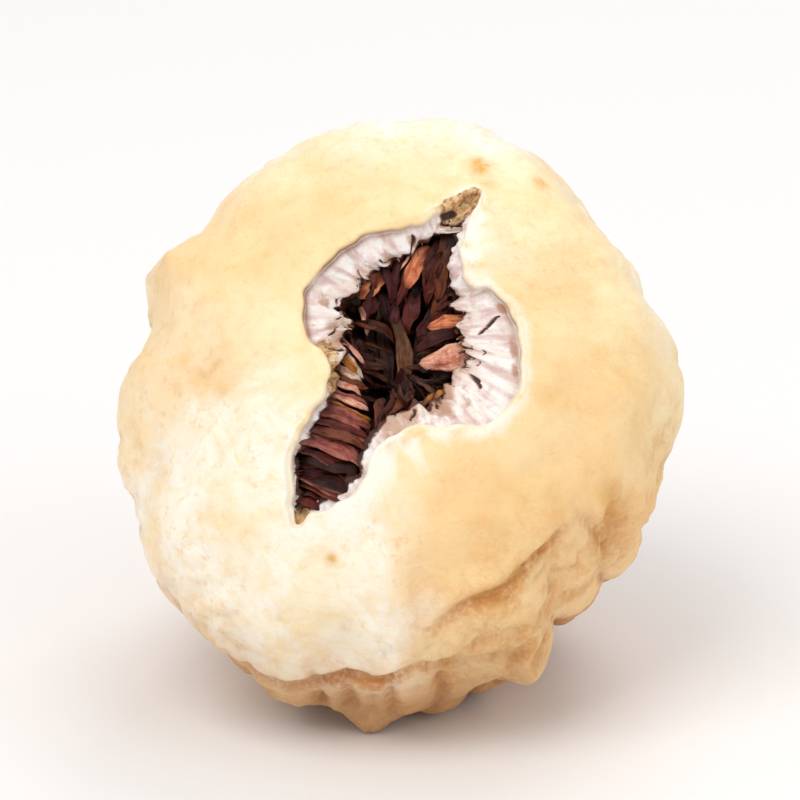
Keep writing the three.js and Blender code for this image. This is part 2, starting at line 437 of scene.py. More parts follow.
# Creases of the eye end: points on the skin (angle, run from the eye), width, depth, how far the
# skin steps down on the side away from the eye, how far the bank nearer the eye hangs over it, and
# how brown it is.
CREASES = (
    (((216, 21.6), (210, 21.3), (204, 20.9), (199, 20.5), (194, 19.8), (189, 19), (184, 19),
      (179, 18.4), (174, 18.5), (168, 18.9), (162, 19.1), (156, 19.7)), 0.42, 0.5, 0.1, 0, 1),
    (((190.5, 18.8), (190, 20), (189.5, 21.6), (189, 23.8)), 0.35, 0.4, 0, 0, 0.9),
    (((182.5, 18.8), (181.5, 20.2), (181, 21.8), (180.5, 24)), 0.35, 0.4, 0, 0, 0.9),
    (((178, 16.4), (170, 15.5), (164.6, 14.8), (159.5, 14.6), (156, 14.5), (150, 14.2), (146.6, 14),
      (143, 13.9), (139.6, 13.7), (136.2, 13.5), (133, 13.5)), 0.38, 0.34, 0.28, 0.15, 1.15),
    (((130, 13), (129, 14), (128, 15.3), (127, 17.3), (127.5, 18.4), (130.3, 19)),
     0.4, 0.35, 0.12, 0.1, 0.8),
    (((172, 18.8), (163, 17.6), (154, 17.2), (146, 17.6), (139, 17)), 0.45, 0.26, 0.18, 0.1, 0.2),
    (((152.5, 18.6), (155, 19.6), (156.5, 20.6), (155, 21.8)), 0.35, 0.4, 0, 0, 0.7),
    (((148.5, 20), (150.5, 20.7), (150, 21.6)), 0.4, 0.5, 0, 0, 1),
    (((119, 14), (122.5, 15.6), (125, 17), (126, 18.8)), 0.5, 0.25, 0.15, 0, 0.5),
    (((143, 18.4), (138, 19.2), (132, 19.3)), 0.5, 0.35, 0, 0, 0.5),
    (((196, 21.6), (195, 22.6), (194.5, 24)), 0.35, 0.4, 0, 0, 0.7),
    (((172, 19.6), (171, 21.4), (171.5, 23.4)), 0.35, 0.35, 0, 0, 0.7),
    (((300, 20), (296, 17.5), (291, 15.5)), 0.7, 0.22, 0, 0, 0.15),
    (((258, 18.6), (252, 16.6), (247, 14.5)), 0.6, 0.18, 0, 0, 0.15),
    (((238, 21.5), (232, 20.2), (227, 18.2)), 0.35, 0.2, 0, 0, 0.35),
    (((248, 21.5), (244, 20.4), (242, 19)), 0.3, 0.2, 0, 0, 0.35),
    (((175, 12), (178, 14.5), (181, 17.5)), 0.8, 0.18, 0, 0, 0.2),
)
# Knobs of the same end: place as above, half width, height.
KNOBS = (
    (185.5, 25, 1.3, 1.3), (206, 24, 2.4, 0.8), (197, 23.6, 1.8, 0.5), (173, 24, 2.2, 0.7),
    (154, 22, 1.5, 1.2), (161, 24.5, 1.6, -0.5), (147, 22.5, 1.6, 0.5), (150, 16.8, 2.4, 0.25),
)


def spots(places):
    """Soft round spots on the skin, one a place: its last number times a bell of the distance."""
    spread = []
    for angle, run, width, height in places:
        spot = mean_skin(np.radians(angle), np.array(run))
        spread.append(height * bell(length(skin_points - spot) / width))
    return np.array(spread)


CREASE_STEPS, CREASE_REACH = 24, 5
BANK_WIDTH, STEP_WIDTH, SHADE_BAND_WIDTH = 1.2, 2.2, 1.3
relief += spots(SWELLS).sum(0)
crease_depth = np.zeros(skin_run.shape)
crease_shade_band = np.zeros(skin_run.shape)
for places, width, depth, step, overhang, brown in CREASES:
    path = drawn_through(places, CREASE_STEPS, closed=False)
    line = mean_skin(np.radians(path[:, 0]), path[:, 1])
    low, high = line.min(0) - CREASE_REACH, line.max(0) + CREASE_REACH
    near = ((skin_points > low) & (skin_points < high)).all(-1)
    gap = length(skin_points[near][:, None] - line[None])
    nearest = gap.argmin(1)
    distance = gap.min(1)
    share = np.clip(nearest / (len(path) - 1), 0.03, 0.97)
    taper = np.sqrt(np.sin(np.pi * share))
    eye_side = smoothstep(path[nearest, 1] - skin_run[near], -0.3, 0.3)
    beads = taper * (0.9 + 0.12 * drift(line, 2.5, 51))[nearest]
    bank = taper * bell((distance - 1.6 * width) / (BANK_WIDTH * width))
    relief[near] += 0.3 * depth * bank - depth * beads * bell(distance / width)
    relief[near] -= step * (1 - eye_side) * taper * bell(distance / STEP_WIDTH)
    lean[near] += (overhang * bank * eye_side)[:, None] * skin_down[near]
    past_line = distance * np.where(eye_side > 0.5, -1, 1) - 0.7 * width
    brown_line = brown * beads * bell(past_line / (BANK_WIDTH * width))
    crease_depth[near] = np.maximum(crease_depth[near], brown_line)
    # Painted shade: a broad soft band of warm brown on both sides of each crease.
    crease_shade_band[near] = np.maximum(crease_shade_band[near], brown * taper * bell(distance / SHADE_BAND_WIDTH))
relief += spots(KNOBS).sum(0)


def fine_ribs(count, wander, seed):
    """Count ribs around the fruit, each an arch between two creases, that wander sideways by a
    smooth random number of ribs."""
    sway = wander * (drift(skin_points, 5, seed) + 0.4 * drift(skin_points, 2.2, seed + 1))
    phase = count * skin_angle + 2 * np.pi * sway
    return 2 * np.sqrt(0.502 + 0.5 * np.cos(phase)) - 1.27


# Fine wrinkles: ribs a millimetre or so apart on the flanks, fewer towards the stalk as they run
# together, and faint wider ones that run out over the rim onto the eye end.
patchy = smoothstep(drift(skin_points, 6, 61), -0.5, 0.6)
upper_fine = fine_ribs(64, 1.3, 62) * past(19, 25) * (1 - past(32, 37))
lower_fine = fine_ribs(36, 1.0, 64) * past(32, 37) * (1 - past(42, 45))
stalk_fine = fine_ribs(22, 0.5, 66) * past(42, 45)
stalk_fine = stalk_fine * (1 - past(TOTAL_RUN - 2, TOTAL_RUN - 1))
relief += 0.10 * (0.3 + patchy) * upper_fine + 0.11 * (0.4 + patchy) * lower_fine + 0.12 * stalk_fine
rim_share = past(10.5, 17) * (1 - past(19.5, 24))
relief += 0.10 * rim_share * (0.15 + patchy) * fine_ribs(44, 0.7, 68)
soft_dents = 0.16 * drift(skin_points, 5, 25) + 0.05 * drift(skin_points, 2.6, 26)
soft_dents = soft_dents + 0.022 * drift(skin_points, 1.3, 27)
relief += soft_dents * smoothstep(length(skin_points - skin_points[:1]), 1.0, 3.5)

# Leathery places, where the skin is lumpy: place as above, half width, strength.
LEATHERY = (
    (150, 17.5, 4.5, 1), (126, 18, 3, 0.9), (165, 20, 3.2, 1), (192, 22, 4, 0.8), (106, 19, 3, 0.6),
    (215, 21, 3, 0.3), (300, 19.5, 3, 0.4), (255, 20, 4, 0.25), (30, 19.5, 3, 0.4), (140, 14.5, 2, 0.5),
)
# Crumples: thin creases where a smooth random field passes through zero, in a few places only.
CRUMPLED = (
    (142, 16.5, 4, 1), (122, 17.5, 2.6, 0.9), (163, 17.8, 3, 0.8), (104, 18.5, 2.5, 0.6),
    (215, 20, 3, 0.5), (300, 18.5, 2.5, 0.5), (262, 11, 1.6, 0.6), (250, 20, 3, 0.5), (30, 19, 3, 0.4),
    (186, 22.5, 4, 0.8),
)
leathery = np.maximum(spots(LEATHERY).max(0), 0.6 * flank)
relief += (0.11 * drift(skin_points, 1.7, 55) + 0.05 * drift(skin_points, 0.9, 56)) * leathery
crumple_field = drift(skin_points, 3.4, 28) + 0.35 * drift(skin_points, 1.4, 29)
crumples = bell(crumple_field / 0.2) * spots(CRUMPLED).max(0)
relief -= 0.2 * crumples

skin_moved = skin_points + skin_normal * relief[..., None] + lean
# Colour for the creases: the brown lines drawn along them, and darker tan in every rib, fold and knot
# valley and crumple, painted shade where less light falls.
valley_brown_and_shade = np.max([
    flank * calm * rib_strength * smoothstep(-ribs, 0.0, 1.05),
    crease_depth,
    0.4 * crumples,
    0.7 * past(20, 26) * fold_strength * smoothstep(-folds, 0.3, 1.1),
    0.8 * knot_share * smoothstep(-knots, 0.3, 1.1),
], axis=0)

# Lip: a bead rolled from the skin down into the tear, its top level with the skin.
BEAD_CURL = np.radians(128)
bead_turn = np.linspace(0, BEAD_CURL, BEAD_ROWS + 1)[1:, None, None]
bead_flat = lip_flat + lip_out * bead_size * (1 - np.sin(bead_turn))
bead_angle = np.arctan2(bead_flat[..., 0], bead_flat[..., 1])
bead_run = length(bead_flat)
bead_normal, _, _ = skin_frame(bead_angle, bead_run)
bead_points = mean_skin(bead_angle, bead_run) - bead_normal * bead_size * (1 - np.cos(bead_turn))

# Rind: from under the bead down to the throat.
rind_share = np.linspace(0, 1, RIND_ROWS + 1)[1:, None]
rind_top = bead_points[-1]
smooth_top = eased(rind_top[:, :2], 8)
top_plan = smooth_top[None] + (rind_top[:, :2] - smooth_top)[None] * np.exp(-rind_share[..., None] * 7)
rind_plan = top_plan * (1 - rind_share[..., None]) + throat[None] * rind_share[..., None]
throat_level = skin_level(throat) - throat_depth
rind_along = rind_top[None, :, 2] + (throat_level - rind_top[:, 2])[None] * rind_share**0.85
rind_points = np.concatenate([rind_plan, rind_along[..., None]], -1)

# Cracks in the rind: place around the tear in mm from its upper tip and how far down the wall
# each starts, the same where it ends, half width at its widest, and depth. One that ends at the
# throat opens towards it.
CRACKS = (
    (9.6, 0.14, 10.5, 0.44, 0.19, 0.25), (12.2, 0.5, 12.3, 0.58, 0.1, 0.08),
    (11.9, 0.68, 12.5, 1, 0.12, 0.2), (15.2, 0.34, 14.7, 0.88, 0.12, 0.2),
    (16.6, 0.7, 16.2, 1, 0.14, 0.2), (20.6, 0.25, 20.2, 0.6, 0.16, 0.18),
    (18.6, 0.5, 18.3, 0.8, 0.12, 0.15), (41.7, 0.42, 42.3, 0.66, 0.14, 0.2),
    (47.8, 0.45, 48.2, 1, 0.2, 0.28), (50.4, 0.2, 49.6, 0.9, 0.17, 0.2),
    (43.25, 0.8, 43.15, 0.9, 0.26, 0.3), (42, 0.5, 42.6, 1, 0.2, 0.3), (45.7, 0.6, 45.3, 1, 0.18, 0.28),
    (12.9, 0.72, 13, 1, 0.15, 0.2), (13.6, 0.7, 13.5, 0.78, 0.18, 0.2), (17.5, 0.8, 17.4, 1, 0.16, 0.2),
    (19, 0.82, 18.8, 1, 0.16, 0.2), (40.2, 0.35, 40.8, 0.65, 0.14, 0.2),
    (39.4, 0.3, 39, 0.6, 0.12, 0.15), (52.5, 0.4, 51.8, 1, 0.14, 0.2),
)
# Swellings of the rind towards the inside: place, how far down, half width, half reach, height.
SWOLLEN = (
    (44.3, 0.35, 0.8, 0.2, -0.3), (44, 0.82, 0.7, 0.16, 0.35), (42, 0.45, 0.6, 0.22, 0.4),
    (47.6, 0.5, 0.7, 0.3, 0.25), (11, 0.6, 1.1, 0.3, 0.25), (13.3, 0.45, 0.7, 0.25, 0.25),
    (16, 0.45, 0.9, 0.25, 0.25), (8.3, 0.5, 0.6, 0.3, 0.2), (40.3, 0.5, 0.6, 0.3, 0.3),
)
# Where the white of the rind has browned: place, how far down, half width, half reach, strength.
DIRTY = (
    (18.4, 0.7, 1.3, 0.5, 0.95), (20.6, 0.5, 1.2, 0.5, 0.9), (16.6, 0.35, 1.2, 0.3, 0.5),
    (23, 0.7, 1, 0.4, 0.5), (44.4, 0.3, 0.6, 0.2, 0.6), (41.3, 0.5, 1, 0.4, 0.8),
    (39.8, 0.55, 1, 0.5, 1), (48.2, 0.6, 0.5, 0.4, 0.8), (50.2, 0.35, 0.5, 0.3, 0.7),
    (12, 0.85, 2, 0.25, 0.5), (9, 0.8, 0.8, 0.3, 0.4), (53.5, 0.8, 0.8, 0.3, 0.6),
    (15, 0.9, 1, 0.2, 0.6), (37.5, 0.6, 1.2, 0.6, 0.8), (21.7, 0.25, 0.9, 0.5, 0.95),
    (9.2, 0.05, 0.5, 0.09, 1), (11.6, 0.08, 0.9, 0.07, 0.8), (13, 0.08, 0.6, 0.07, 0.9),
    (17.2, 0.9, 1.1, 0.3, 1), (42.9, 0.45, 0.5, 0.17, 1),
)
wall_out = np.concatenate([outward(eased(edge, 8), 4), np.zeros((COLUMNS, 1))], -1)


def beside_column(third):
    """Each row's points on the circle that stands for the tear's edge, with a third value."""
    third = np.broadcast_to(third, (len(third), COLUMNS))
    return np.concatenate([np.repeat(column_circle[None], len(third), 0), third[..., None]], -1)


def wall_spots(places):
    """Soft oval spots on the rind, one a place: its last number times a bell of the distance, each
    way over its half width and half reach."""
    spread = []
    for place, share, width, reach, height in places:
        away = (column_run[None] - place + column_run[-1] / 2) % column_run[-1] - column_run[-1] / 2
        spread.append(height * bell(np.hypot(away / width, (rind_share - share) / reach)))
    return np.array(spread)


rind_place = beside_column(1.2 * rind_share)
fibres = drift(rind_place * (1, 1, 0.6), 0.9, 41)
fine_fibres = drift(rind_place, 0.45, 42)
pith = drift(rind_place, 2.4, 45)
cracked = np.zeros((RIND_ROWS, COLUMNS))
crack_depth = np.zeros((RIND_ROWS, COLUMNS))
for first_place, first_share, last_place, last_share, width, depth in CRACKS:
    way = np.clip((rind_share - first_share) / (last_share - first_share), 0, 1)
    sideways = column_run[None] - first_place - (last_place - first_place) * way
    sideways = sideways - 0.12 * np.sin(way * 5 + first_place) - 0.07 * fine_fibres
    endways = 3.0 * (rind_share - np.clip(rind_share, first_share, last_share))
    opening = way if last_share == 1.0 else np.sin(np.pi * way)
    slit = bell(np.hypot(sideways, endways) / (width * (0.35 + 0.65 * opening)))
    cracked = np.maximum(cracked, slit)
    crack_depth = np.maximum(crack_depth, depth * slit)
bulge = 0.30 * np.sin(np.pi * rind_share) * (1 + 0.6 * pith) + 0.2 * np.maximum(pith, 0) * rind_share
fibre_depth = (0.11 * fibres + 0.05 * fine_fibres) * np.sin(np.pi * rind_share * 0.9)
rind_relief = crack_depth - fibre_depth - wall_spots(SWOLLEN).sum(0) - bulge
rind_points = rind_points + wall_out[None] * rind_relief[..., None]

# Hollow: from the throat down to its closed floor.
HOLLOW_DEPTH = 7.4
HOLLOW_CENTRE = np.array([0, -0.8])
hollow_turn = np.linspace(0, np.pi / 2, HOLLOW_ROWS + 2)[1:-1, None]
hollow_width = np.cos(hollow_turn) ** 0.6
throat_now = rind_points[-1]
hollow_plan = HOLLOW_CENTRE + (throat_now[:, :2] - HOLLOW_CENTRE)[None] * hollow_width[..., None]
hollow_along = throat_now[:, 2][None] * (1 - np.sin(hollow_turn))
hollow_along = hollow_along + (EYE_RISE - HOLLOW_DEPTH) * np.sin(hollow_turn)
hollow_points = np.concatenate([hollow_plan, hollow_along[..., None]], -1)
lumps = drift(hollow_points, 2.0, 43) + 0.5 * drift(hollow_points, 0.8, 44)
lumps = lumps * np.sin(hollow_turn) * np.cos(hollow_turn) * 2
hollow_points = hollow_points - wall_out[None] * 0.35 * lumps[..., None]

rows = np.concatenate([hollow_points[::-1], rind_points[::-1], bead_points[::-1], skin_moved])
floor_pole = np.array([[*HOLLOW_CENTRE, EYE_RISE - HOLLOW_DEPTH]])
stalk_pole = mean_skin(np.zeros(1), np.full(1, TOTAL_RUN))
vertices = np.concatenate([rows.reshape(-1, 3), floor_pole, stalk_pole])


def lying(points):
    """Right, up and along the axis turned into the frame: the eye towards -Y, tilted up."""
    right, up, along = points.T
    back = up * np.sin(AXIS_TILT) - along * np.cos(AXIS_TILT)
    height = up * np.cos(AXIS_TILT) + along * np.sin(AXIS_TILT)
    return np.stack([right, back, height], -1)


def settled(points):
    """The side it lies on is pressed level, softly at the edges, and set on the floor."""
    soft = 0.25
    above = points[:, 2] - level_height
    pressed = np.where(above > soft, above, np.where(above < -soft, 0, (above + soft) ** 2 / (4 * soft)))
    return np.column_stack([points[:, :2], pressed])


level_height = lying(vertices)[:, 2].min() + PRESSED
placed = settled(lying(vertices))
cad_centre = (np.array(fig_low) + np.array(fig_high)) / 2 / MM
shift = np.append((cad_centre - (placed.min(0) + placed.max(0)) / 2)[:2], 0)
placed = placed + shift


def grid_faces(row_count, column_count):
    """Quads between neighbouring rows of a grid that closes on itself along each row."""
    row = np.arange(row_count - 1)[:, None] * column_count
    here = np.arange(column_count)[None]
    there = (here + 1) % column_count
    below = row + column_count
    return np.stack([row + here, row + there, below + there, below + here], -1).reshape(-1, 4)


def mesh_piece(name, points, quads, fans):
    """A mesh object from points in mm, quads and triangles, smooth all over."""
    mesh = bpy.data.meshes.new(name)
    mesh.from_pydata((points * MM).tolist(), [], quads.tolist() + fans.tolist())
    mesh.shade_smooth()
    piece = bpy.data.objects.new(name, mesh)
    bpy.context.scene.collection.objects.link(piece)
    return piece


def closing_fans(row_count, column_count):
    """Triangles that close such a grid's first row and its last, each round a point stored after
    the grid's own."""
    around = np.arange(column_count)
    after = (around + 1) % column_count
    last = (row_count - 1) * column_count
    first_point = np.full(column_count, row_count * column_count)
    first_fan = np.stack([first_point, after, around], -1)
    last_fan = np.stack([first_point + 1, last + around, last + after], -1)
    return np.concatenate([first_fan, last_fan])


fruit = mesh_piece("fruit", placed, grid_faces(len(rows), COLUMNS), closing_fans(len(rows), COLUMNS))


def per_vertex(piece, name, values):
    """Stores one number or three a vertex, for the piece's material to read."""
    values = np.asarray(values, np.float32)
    kind, field = ("FLOAT_VECTOR", "vector") if values.ndim == 2 else ("FLOAT", "value")
    layer = piece.data.attributes.new(name, kind, "POINT")
    layer.data.foreach_set(field, values.ravel())


def whole_fruit(hollow=0, rind=0, bead=0, skin=0):
    """One value a vertex of the fruit, from those of its four zones: rows in the mesh's order,
    then its two poles."""
    zones = [
        np.broadcast_to(hollow, (HOLLOW_ROWS, COLUMNS))[::-1],
        np.broadcast_to(rind, (RIND_ROWS, COLUMNS))[::-1],
        np.broadcast_to(bead, (BEAD_ROWS, COLUMNS))[::-1],
        np.broadcast_to(skin, skin_run.shape),
    ]
    joined = np.concatenate(zones)
    return np.concatenate([joined.ravel(), [joined[0].mean(), joined[-1].mean()]])


# Stains on the skin: place as above, half width, strength; then pale places, partly pale skin and
# partly painted light, mostly on the top of the rim; warm places; and places of painted shade below.
STAINS = (
    (123.5, 15.6, 1.3, 0.9), (122, 14.4, 0.9, 0.6), (128.5, 18.3, 0.7, 1), (158, 14.9, 0.8, 0.8),
    (150, 14.3, 0.8, 0.7), (150, 19.6, 1, 0.7), (198, 11.8, 0.34, 1), (306.5, 9.4, 0.25, 0.6),
    (263.5, 11.3, 0.7, 0.5), (266, 10.4, 0.5, 0.45), (261.5, 8.6, 0.6, 0.5), (257, 9.9, 0.5, 0.4),
    (270, 12.2, 0.6, 0.35), (263, 12.8, 0.5, 0.35), (23.5, 12.5, 0.7, 1.3), (21.5, 12.9, 0.45, 1),
    (27, 11.4, 0.45, 0.45), (38.7, 13.2, 0.45, 1.2), (109, 8.4, 0.7, 0.3), (135, 11, 2.2, 0.25),
    (296, 4.8, 0.3, 0.2), (95, 13, 3, 0.28), (150, 12.6, 2, 0.25), (192, 15.5, 0.3, 0.35),
    (183.5, 5.7, 0.4, 0.5), (177, 5.5, 0.3, 0.4), (212, 19.4, 0.3, 0.7), (216, 18.8, 0.2, 0.6),
)
# Pale places: partly pale skin, partly painted light where the lamp falls brightest, along the top of the
# rim.
PALE_AND_LIT = (
    (20, 17, 4, 1.5), (0, 19, 4, 1.9), (345, 18.5, 3, 1.4), (330, 17, 3.5, 1), (60, 17.5, 2.5, 1.1),
    (0, 16.5, 4, 1.6), (350, 12.5, 3, 0.6), (12, 19, 3, 1.8), (40, 17.5, 2.6, 1.4), (300, 20, 3, 0.7),
    (75, 18.5, 3, 0.7), (262, 16, 3, 0.5), (45, 8.6, 2.2, 0.5),
)
WARM = (
    (150, 10.5, 4, 0.8), (128, 12.5, 4, 0.8), (105, 9.5, 3.2, 0.6), (140, 16.5, 4.5, 1),
    (165, 17.5, 3, 0.7), (301, 9.5, 3.2, 0.6), (345, 10.5, 3.5, 0.3), (334, 8.8, 2.2, 0.5),
    (262, 9.5, 2.5, 0.5), (85, 15.5, 3, 0.25), (75, 10.5, 2, 0.4), (118, 18.5, 4, 0.9),
    (144, 17.6, 1.6, 1.4), (151, 16.6, 1.4, 1.2), (296, 17.5, 2, 0.35), (60, 10, 2.5, 0.3),
    (172, 13.5, 1.6, 0.7),
)
# Painted shade: browner places under the eye end and along its low edge, where less light reaches.
SHADE_BELOW = (
    (172, 20.2, 2.2, 0.45), (160, 19.8, 1.8, 0.4), (130, 19.5, 1.6, 0.35), (190, 23.5, 4, 1),
    (172, 23.5, 4, 1), (208, 24, 3.5, 0.9), (155, 22.5, 2.5, 0.6), (183, 21.4, 3, 0.6),
)
# Painted light: the bottom and lower left of the eye end are made paler, where the lamp falls on them
# brightest.
turned = turn_degrees + 5 * drift(skin_points, 4.0, 52)
lit_lower_left = smoothstep(turned, 170, 186) * (1 - 0.7 * smoothstep(turned, 248, 268))
lit_lower_left = lit_lower_left * (1 - smoothstep(turned, 275, 300))
lit_lower_left = lit_lower_left * past(4, 8) * (1 - past(19.5, 23))
lip_pale = np.zeros(skin_run.shape)
lip_gap = length(near_flat - near_flat[:1])
# Pale skin and bead along the lip: partly pale skin, partly a painted highlight on the bank beside the
# tear.
lip_edge = lip_pale_and_lit * (1 + 0.4 * drift(column_circle, 1.5, 47) + 0.15 * drift(column_circle, 0.5, 49))
lip_pale_and_lit_share = smoothstep(lip_pale_and_lit, 0.12, 0.6)
lip_pale[: len(near_flat)] = lip_pale_and_lit_share * (1 - smoothstep(lip_gap, 0.1 * lip_edge, 1.5 * lip_edge))


def from_line(points, start, end, half_width):
    """Each point's distance, seen along the axis, from the line between two places, over a half
    width."""
    start, end = np.array(start), np.array(end)
    way = end - start
    share = np.clip(((points[..., :2] - start) @ way) / (way @ way), 0, 1)
    return length(points[..., :2] - start - share[..., None] * way) / half_width


def scabbed(points):
    """Where the rind at the two tips and the left bank has dried to a fuzzy gold-brown scab."""
    upper = bell(from_line(points, (2.9, 7.9), (4.3, 9.2), 0.75) ** 2)
    lower = bell(from_line(points, (-5.2, -9.1), (-5.5, -9.8), 0.5) ** 2)
    bank = 0.75 * bell(from_line(points, (-3.9, -0.2), (-3.2, -2.6), 0.75) ** 2)
    return np.max([upper, lower, bank], axis=0)


bead_share = np.linspace(0, 1, BEAD_ROWS)[:, None]
flank_from = 20.5 - 1.3 * bell((turn_degrees - 185) / 30)
on_skin = {
    "crease_brown_and_shade": valley_brown_and_shade,
    "flank": past(flank_from, flank_from + 7),
    "painted_shade_below": spots(SHADE_BELOW).max(0),
    "stalk": past(36, 48),
    "tip": past(TOTAL_RUN - 2.6, TOTAL_RUN - 1.9),
    "stain": spots(STAINS).max(0),
    # Warm places, and painted shade in a broad band along the creases.
    "warm_and_crease_shade": np.maximum(spots(WARM).max(0), 0.9 * crease_shade_band),
    "leathery": leathery,
    "pale": np.maximum(spots(PALE_AND_LIT).max(0), lit_lower_left),
}
for name, share in on_skin.items():
    per_vertex(fruit, name, whole_fruit(skin=share))
per_vertex(fruit, "lip_pale_and_lit", whole_fruit(bead=lip_pale_and_lit_share, skin=lip_pale))
skin_scab = bell(from_line(skin_points, (2.7, 8.45), (4.25, 9.55), 0.34)) * (skin_run < 13)
bead_scab = scabbed(bead_points) * smoothstep(bead_share, 0.2, 0.6)
bead_scab = np.maximum(bead_scab, bell(from_line(bead_points, (2.4, 8.3), (4.3, 9.6), 0.5)))
per_vertex(fruit, "scab", whole_fruit(scabbed(hollow_points), scabbed(rind_points), bead_scab, skin_scab))
per_vertex(fruit, "white", whole_fruit(rind=white_share, bead=white_share))
per_vertex(fruit, "rind", whole_fruit(1, 1, smoothstep(bead_share, 0.35, 0.8)))
seam_share = browned * smoothstep(drift(column_circle, 2.5, 48), -1.1, 0.1)
seam_bead = seam_share * bell((bead_share - 0.6) / 0.22)
per_vertex(fruit, "seam", whole_fruit(rind=seam_share * bell(rind_share / 0.07), bead=seam_bead))
per_vertex(fruit, "deep", whole_fruit(1 + hollow_turn / (np.pi / 2), rind_share))
scab_hole = bell(from_line(rind_points, (2.5, 7.75), (2.95, 7.95), 0.26))
per_vertex(fruit, "crack", whole_fruit(rind=np.maximum(cracked, scab_hole)))
per_vertex(fruit, "dirty", whole_fruit(rind=wall_spots(DIRTY).max(0)))
# Painted shade in the furrows between the rind's fibres.
per_vertex(fruit, "furrow_shade", whole_fruit(rind=smoothstep(-fibres - 0.4 * fine_fibres, -0.2, 0.9)))
grains = [
    beside_column(0.8 + 2 * hollow_turn),
    beside_column(0.8 * rind_share),
    beside_column(0 * bead_share),
    np.stack([BODY_RADIUS * np.cos(skin_angle), BODY_RADIUS * np.sin(skin_angle), 0.22 * skin_run], -1),
]
grain = [whole_fruit(*[zone[..., axis] for zone in grains]) for axis in range(3)]
per_vertex(fruit, "grain", np.stack(grain, -1))


def colour(chart):
    """A colour as a painter reads it off a chart, red, green and blue from 0 to 255, as the linear
    one that nodes take; what comes from another node stays as it is."""
    if isinstance(chart, bpy.types.NodeSocket):
        return chart
    share = np.array(chart) / 255
    linear = np.where(share <= 0.04045, share / 12.92, ((share + 0.055) / 1.055) ** 2.4)
    return (*linear.tolist(), 1.0)


class Finish:
    """A procedural material: each call adds one node and gives the socket that comes out."""

    def __init__(self, name):
        self.material = bpy.data.materials.new(name)
        self.material.use_nodes = True
        self.tree = self.material.node_tree
        self.shader = self.tree.nodes["Principled BSDF"]

    def node(self, kind, out, inputs, **settings):
        """A node of that kind with its settings and inputs; gives its output of that name or number."""
        made = self.tree.nodes.new("ShaderNode" + kind)
        for name, value in settings.items():
            setattr(made, name, value)
        for name, value in inputs.items():
            self.plug(made.inputs[name], value)
        return made.outputs[out]

    def plug(self, socket, value):
        """Links a socket to another node's, or sets it to a plain value."""
        if isinstance(value, bpy.types.NodeSocket):
            self.tree.links.new(value, socket)
        else:
            socket.default_value = value

    def place(self):
        """Object coordinates in mm."""
        metres = self.node("TexCoord", "Object", {})
        return self.node("VectorMath", "Vector", {0: metres, "Scale": 1 / MM}, operation="SCALE")

    def layer(self, name, out="Fac"):
        """What the mesh stores at each vertex under that name."""
        return self.node("Attribute", out, {}, attribute_name=name)

    def noise(self, where, per_mm, detail=3.0, roughness=0.55, distortion=0.0):
        """Cloudy noise, 0 to 1, with that many lumps to the mm."""
        inputs = {"Vector": where, "Scale": per_mm, "Detail": detail}
        inputs.update({"Roughness": roughness, "Distortion": distortion})
        return self.node("TexNoise", 0, inputs)

    def between(self, value, low, high):
        """0 where value is below low, 1 above high, smooth between."""
        inputs = {"Value": value, "From Min": low, "From Max": high}
        return self.node("MapRange", 0, inputs, interpolation_type="SMOOTHSTEP")

    def joined(self, operation, *values):
        """The values taken together by an operation, two at a time."""
        total = values[0]
        for value in values[1:]:
            total = self.node("Math", 0, {0: total, 1: value}, operation=operation)
        return total

    def times(self, *values):
        """All the values multiplied."""
        return self.joined("MULTIPLY", *values)

    def plus(self, *values):
        """All the values added."""
        return self.joined("ADD", *values)

    def mix(self, one, other, *shares, blend="MIX"):
        """The one colour where the shares multiplied are 0, the other, or its blend, where 1."""
        inputs = {"Factor": self.times(*shares), 6: colour(one), 7: colour(other)}
        return self.node("Mix", 2, inputs, data_type="RGBA", blend_type=blend)

    def coated(self, under, *coats):
        """A colour under coats in turn: each is a colour, then shares that say how far it covers."""
        for paint, *shares in coats:
            under = self.mix(under, paint, *shares)
        return under

    def bump(self, height, distance, strength, **under):
        """A normal tilted by the slope of a height, over another normal where one is given."""
        inputs = {"Height": height, "Distance": distance, "Strength": strength}
        return self.node("Bump", 0, {**inputs, **under})

    def set(self, **values):
        """Plugs values into the shader's sockets, named with underscores."""
        for name, value in values.items():
            self.plug(self.shader.inputs[name.replace("_", " ").title().replace("Ior", "IOR")], value)


skin = Finish("dried_skin")
place = skin.place()
grain_place = skin.layer("grain", "Vector")
flank_share = skin.layer("flank")
broad = skin.noise(place, 0.13, 3, 0.6)
mottle = skin.noise(place, 0.55, 5, 0.62, 0.4)
speckle = skin.noise(place, 3.2, 4, 0.6)
streak = skin.noise(grain_place, 0.42, 4, 0.6, 0.3)
veins = skin.noise(place, 0.5, 2, 0.5, 2.5)
cloud = skin.noise(place, 0.3, 4, 0.6, 0.6)
pores = skin.noise(place, 7.0, 2, 0.5)
patches = skin.times(skin.between(mottle, 0.42, 0.6), skin.between(speckle, 0.3, 0.6), 0.75)
freckles = skin.noise(place, 1.7, 4, 0.7)
sugar = skin.noise(place, 5.5, 2, 0.6)

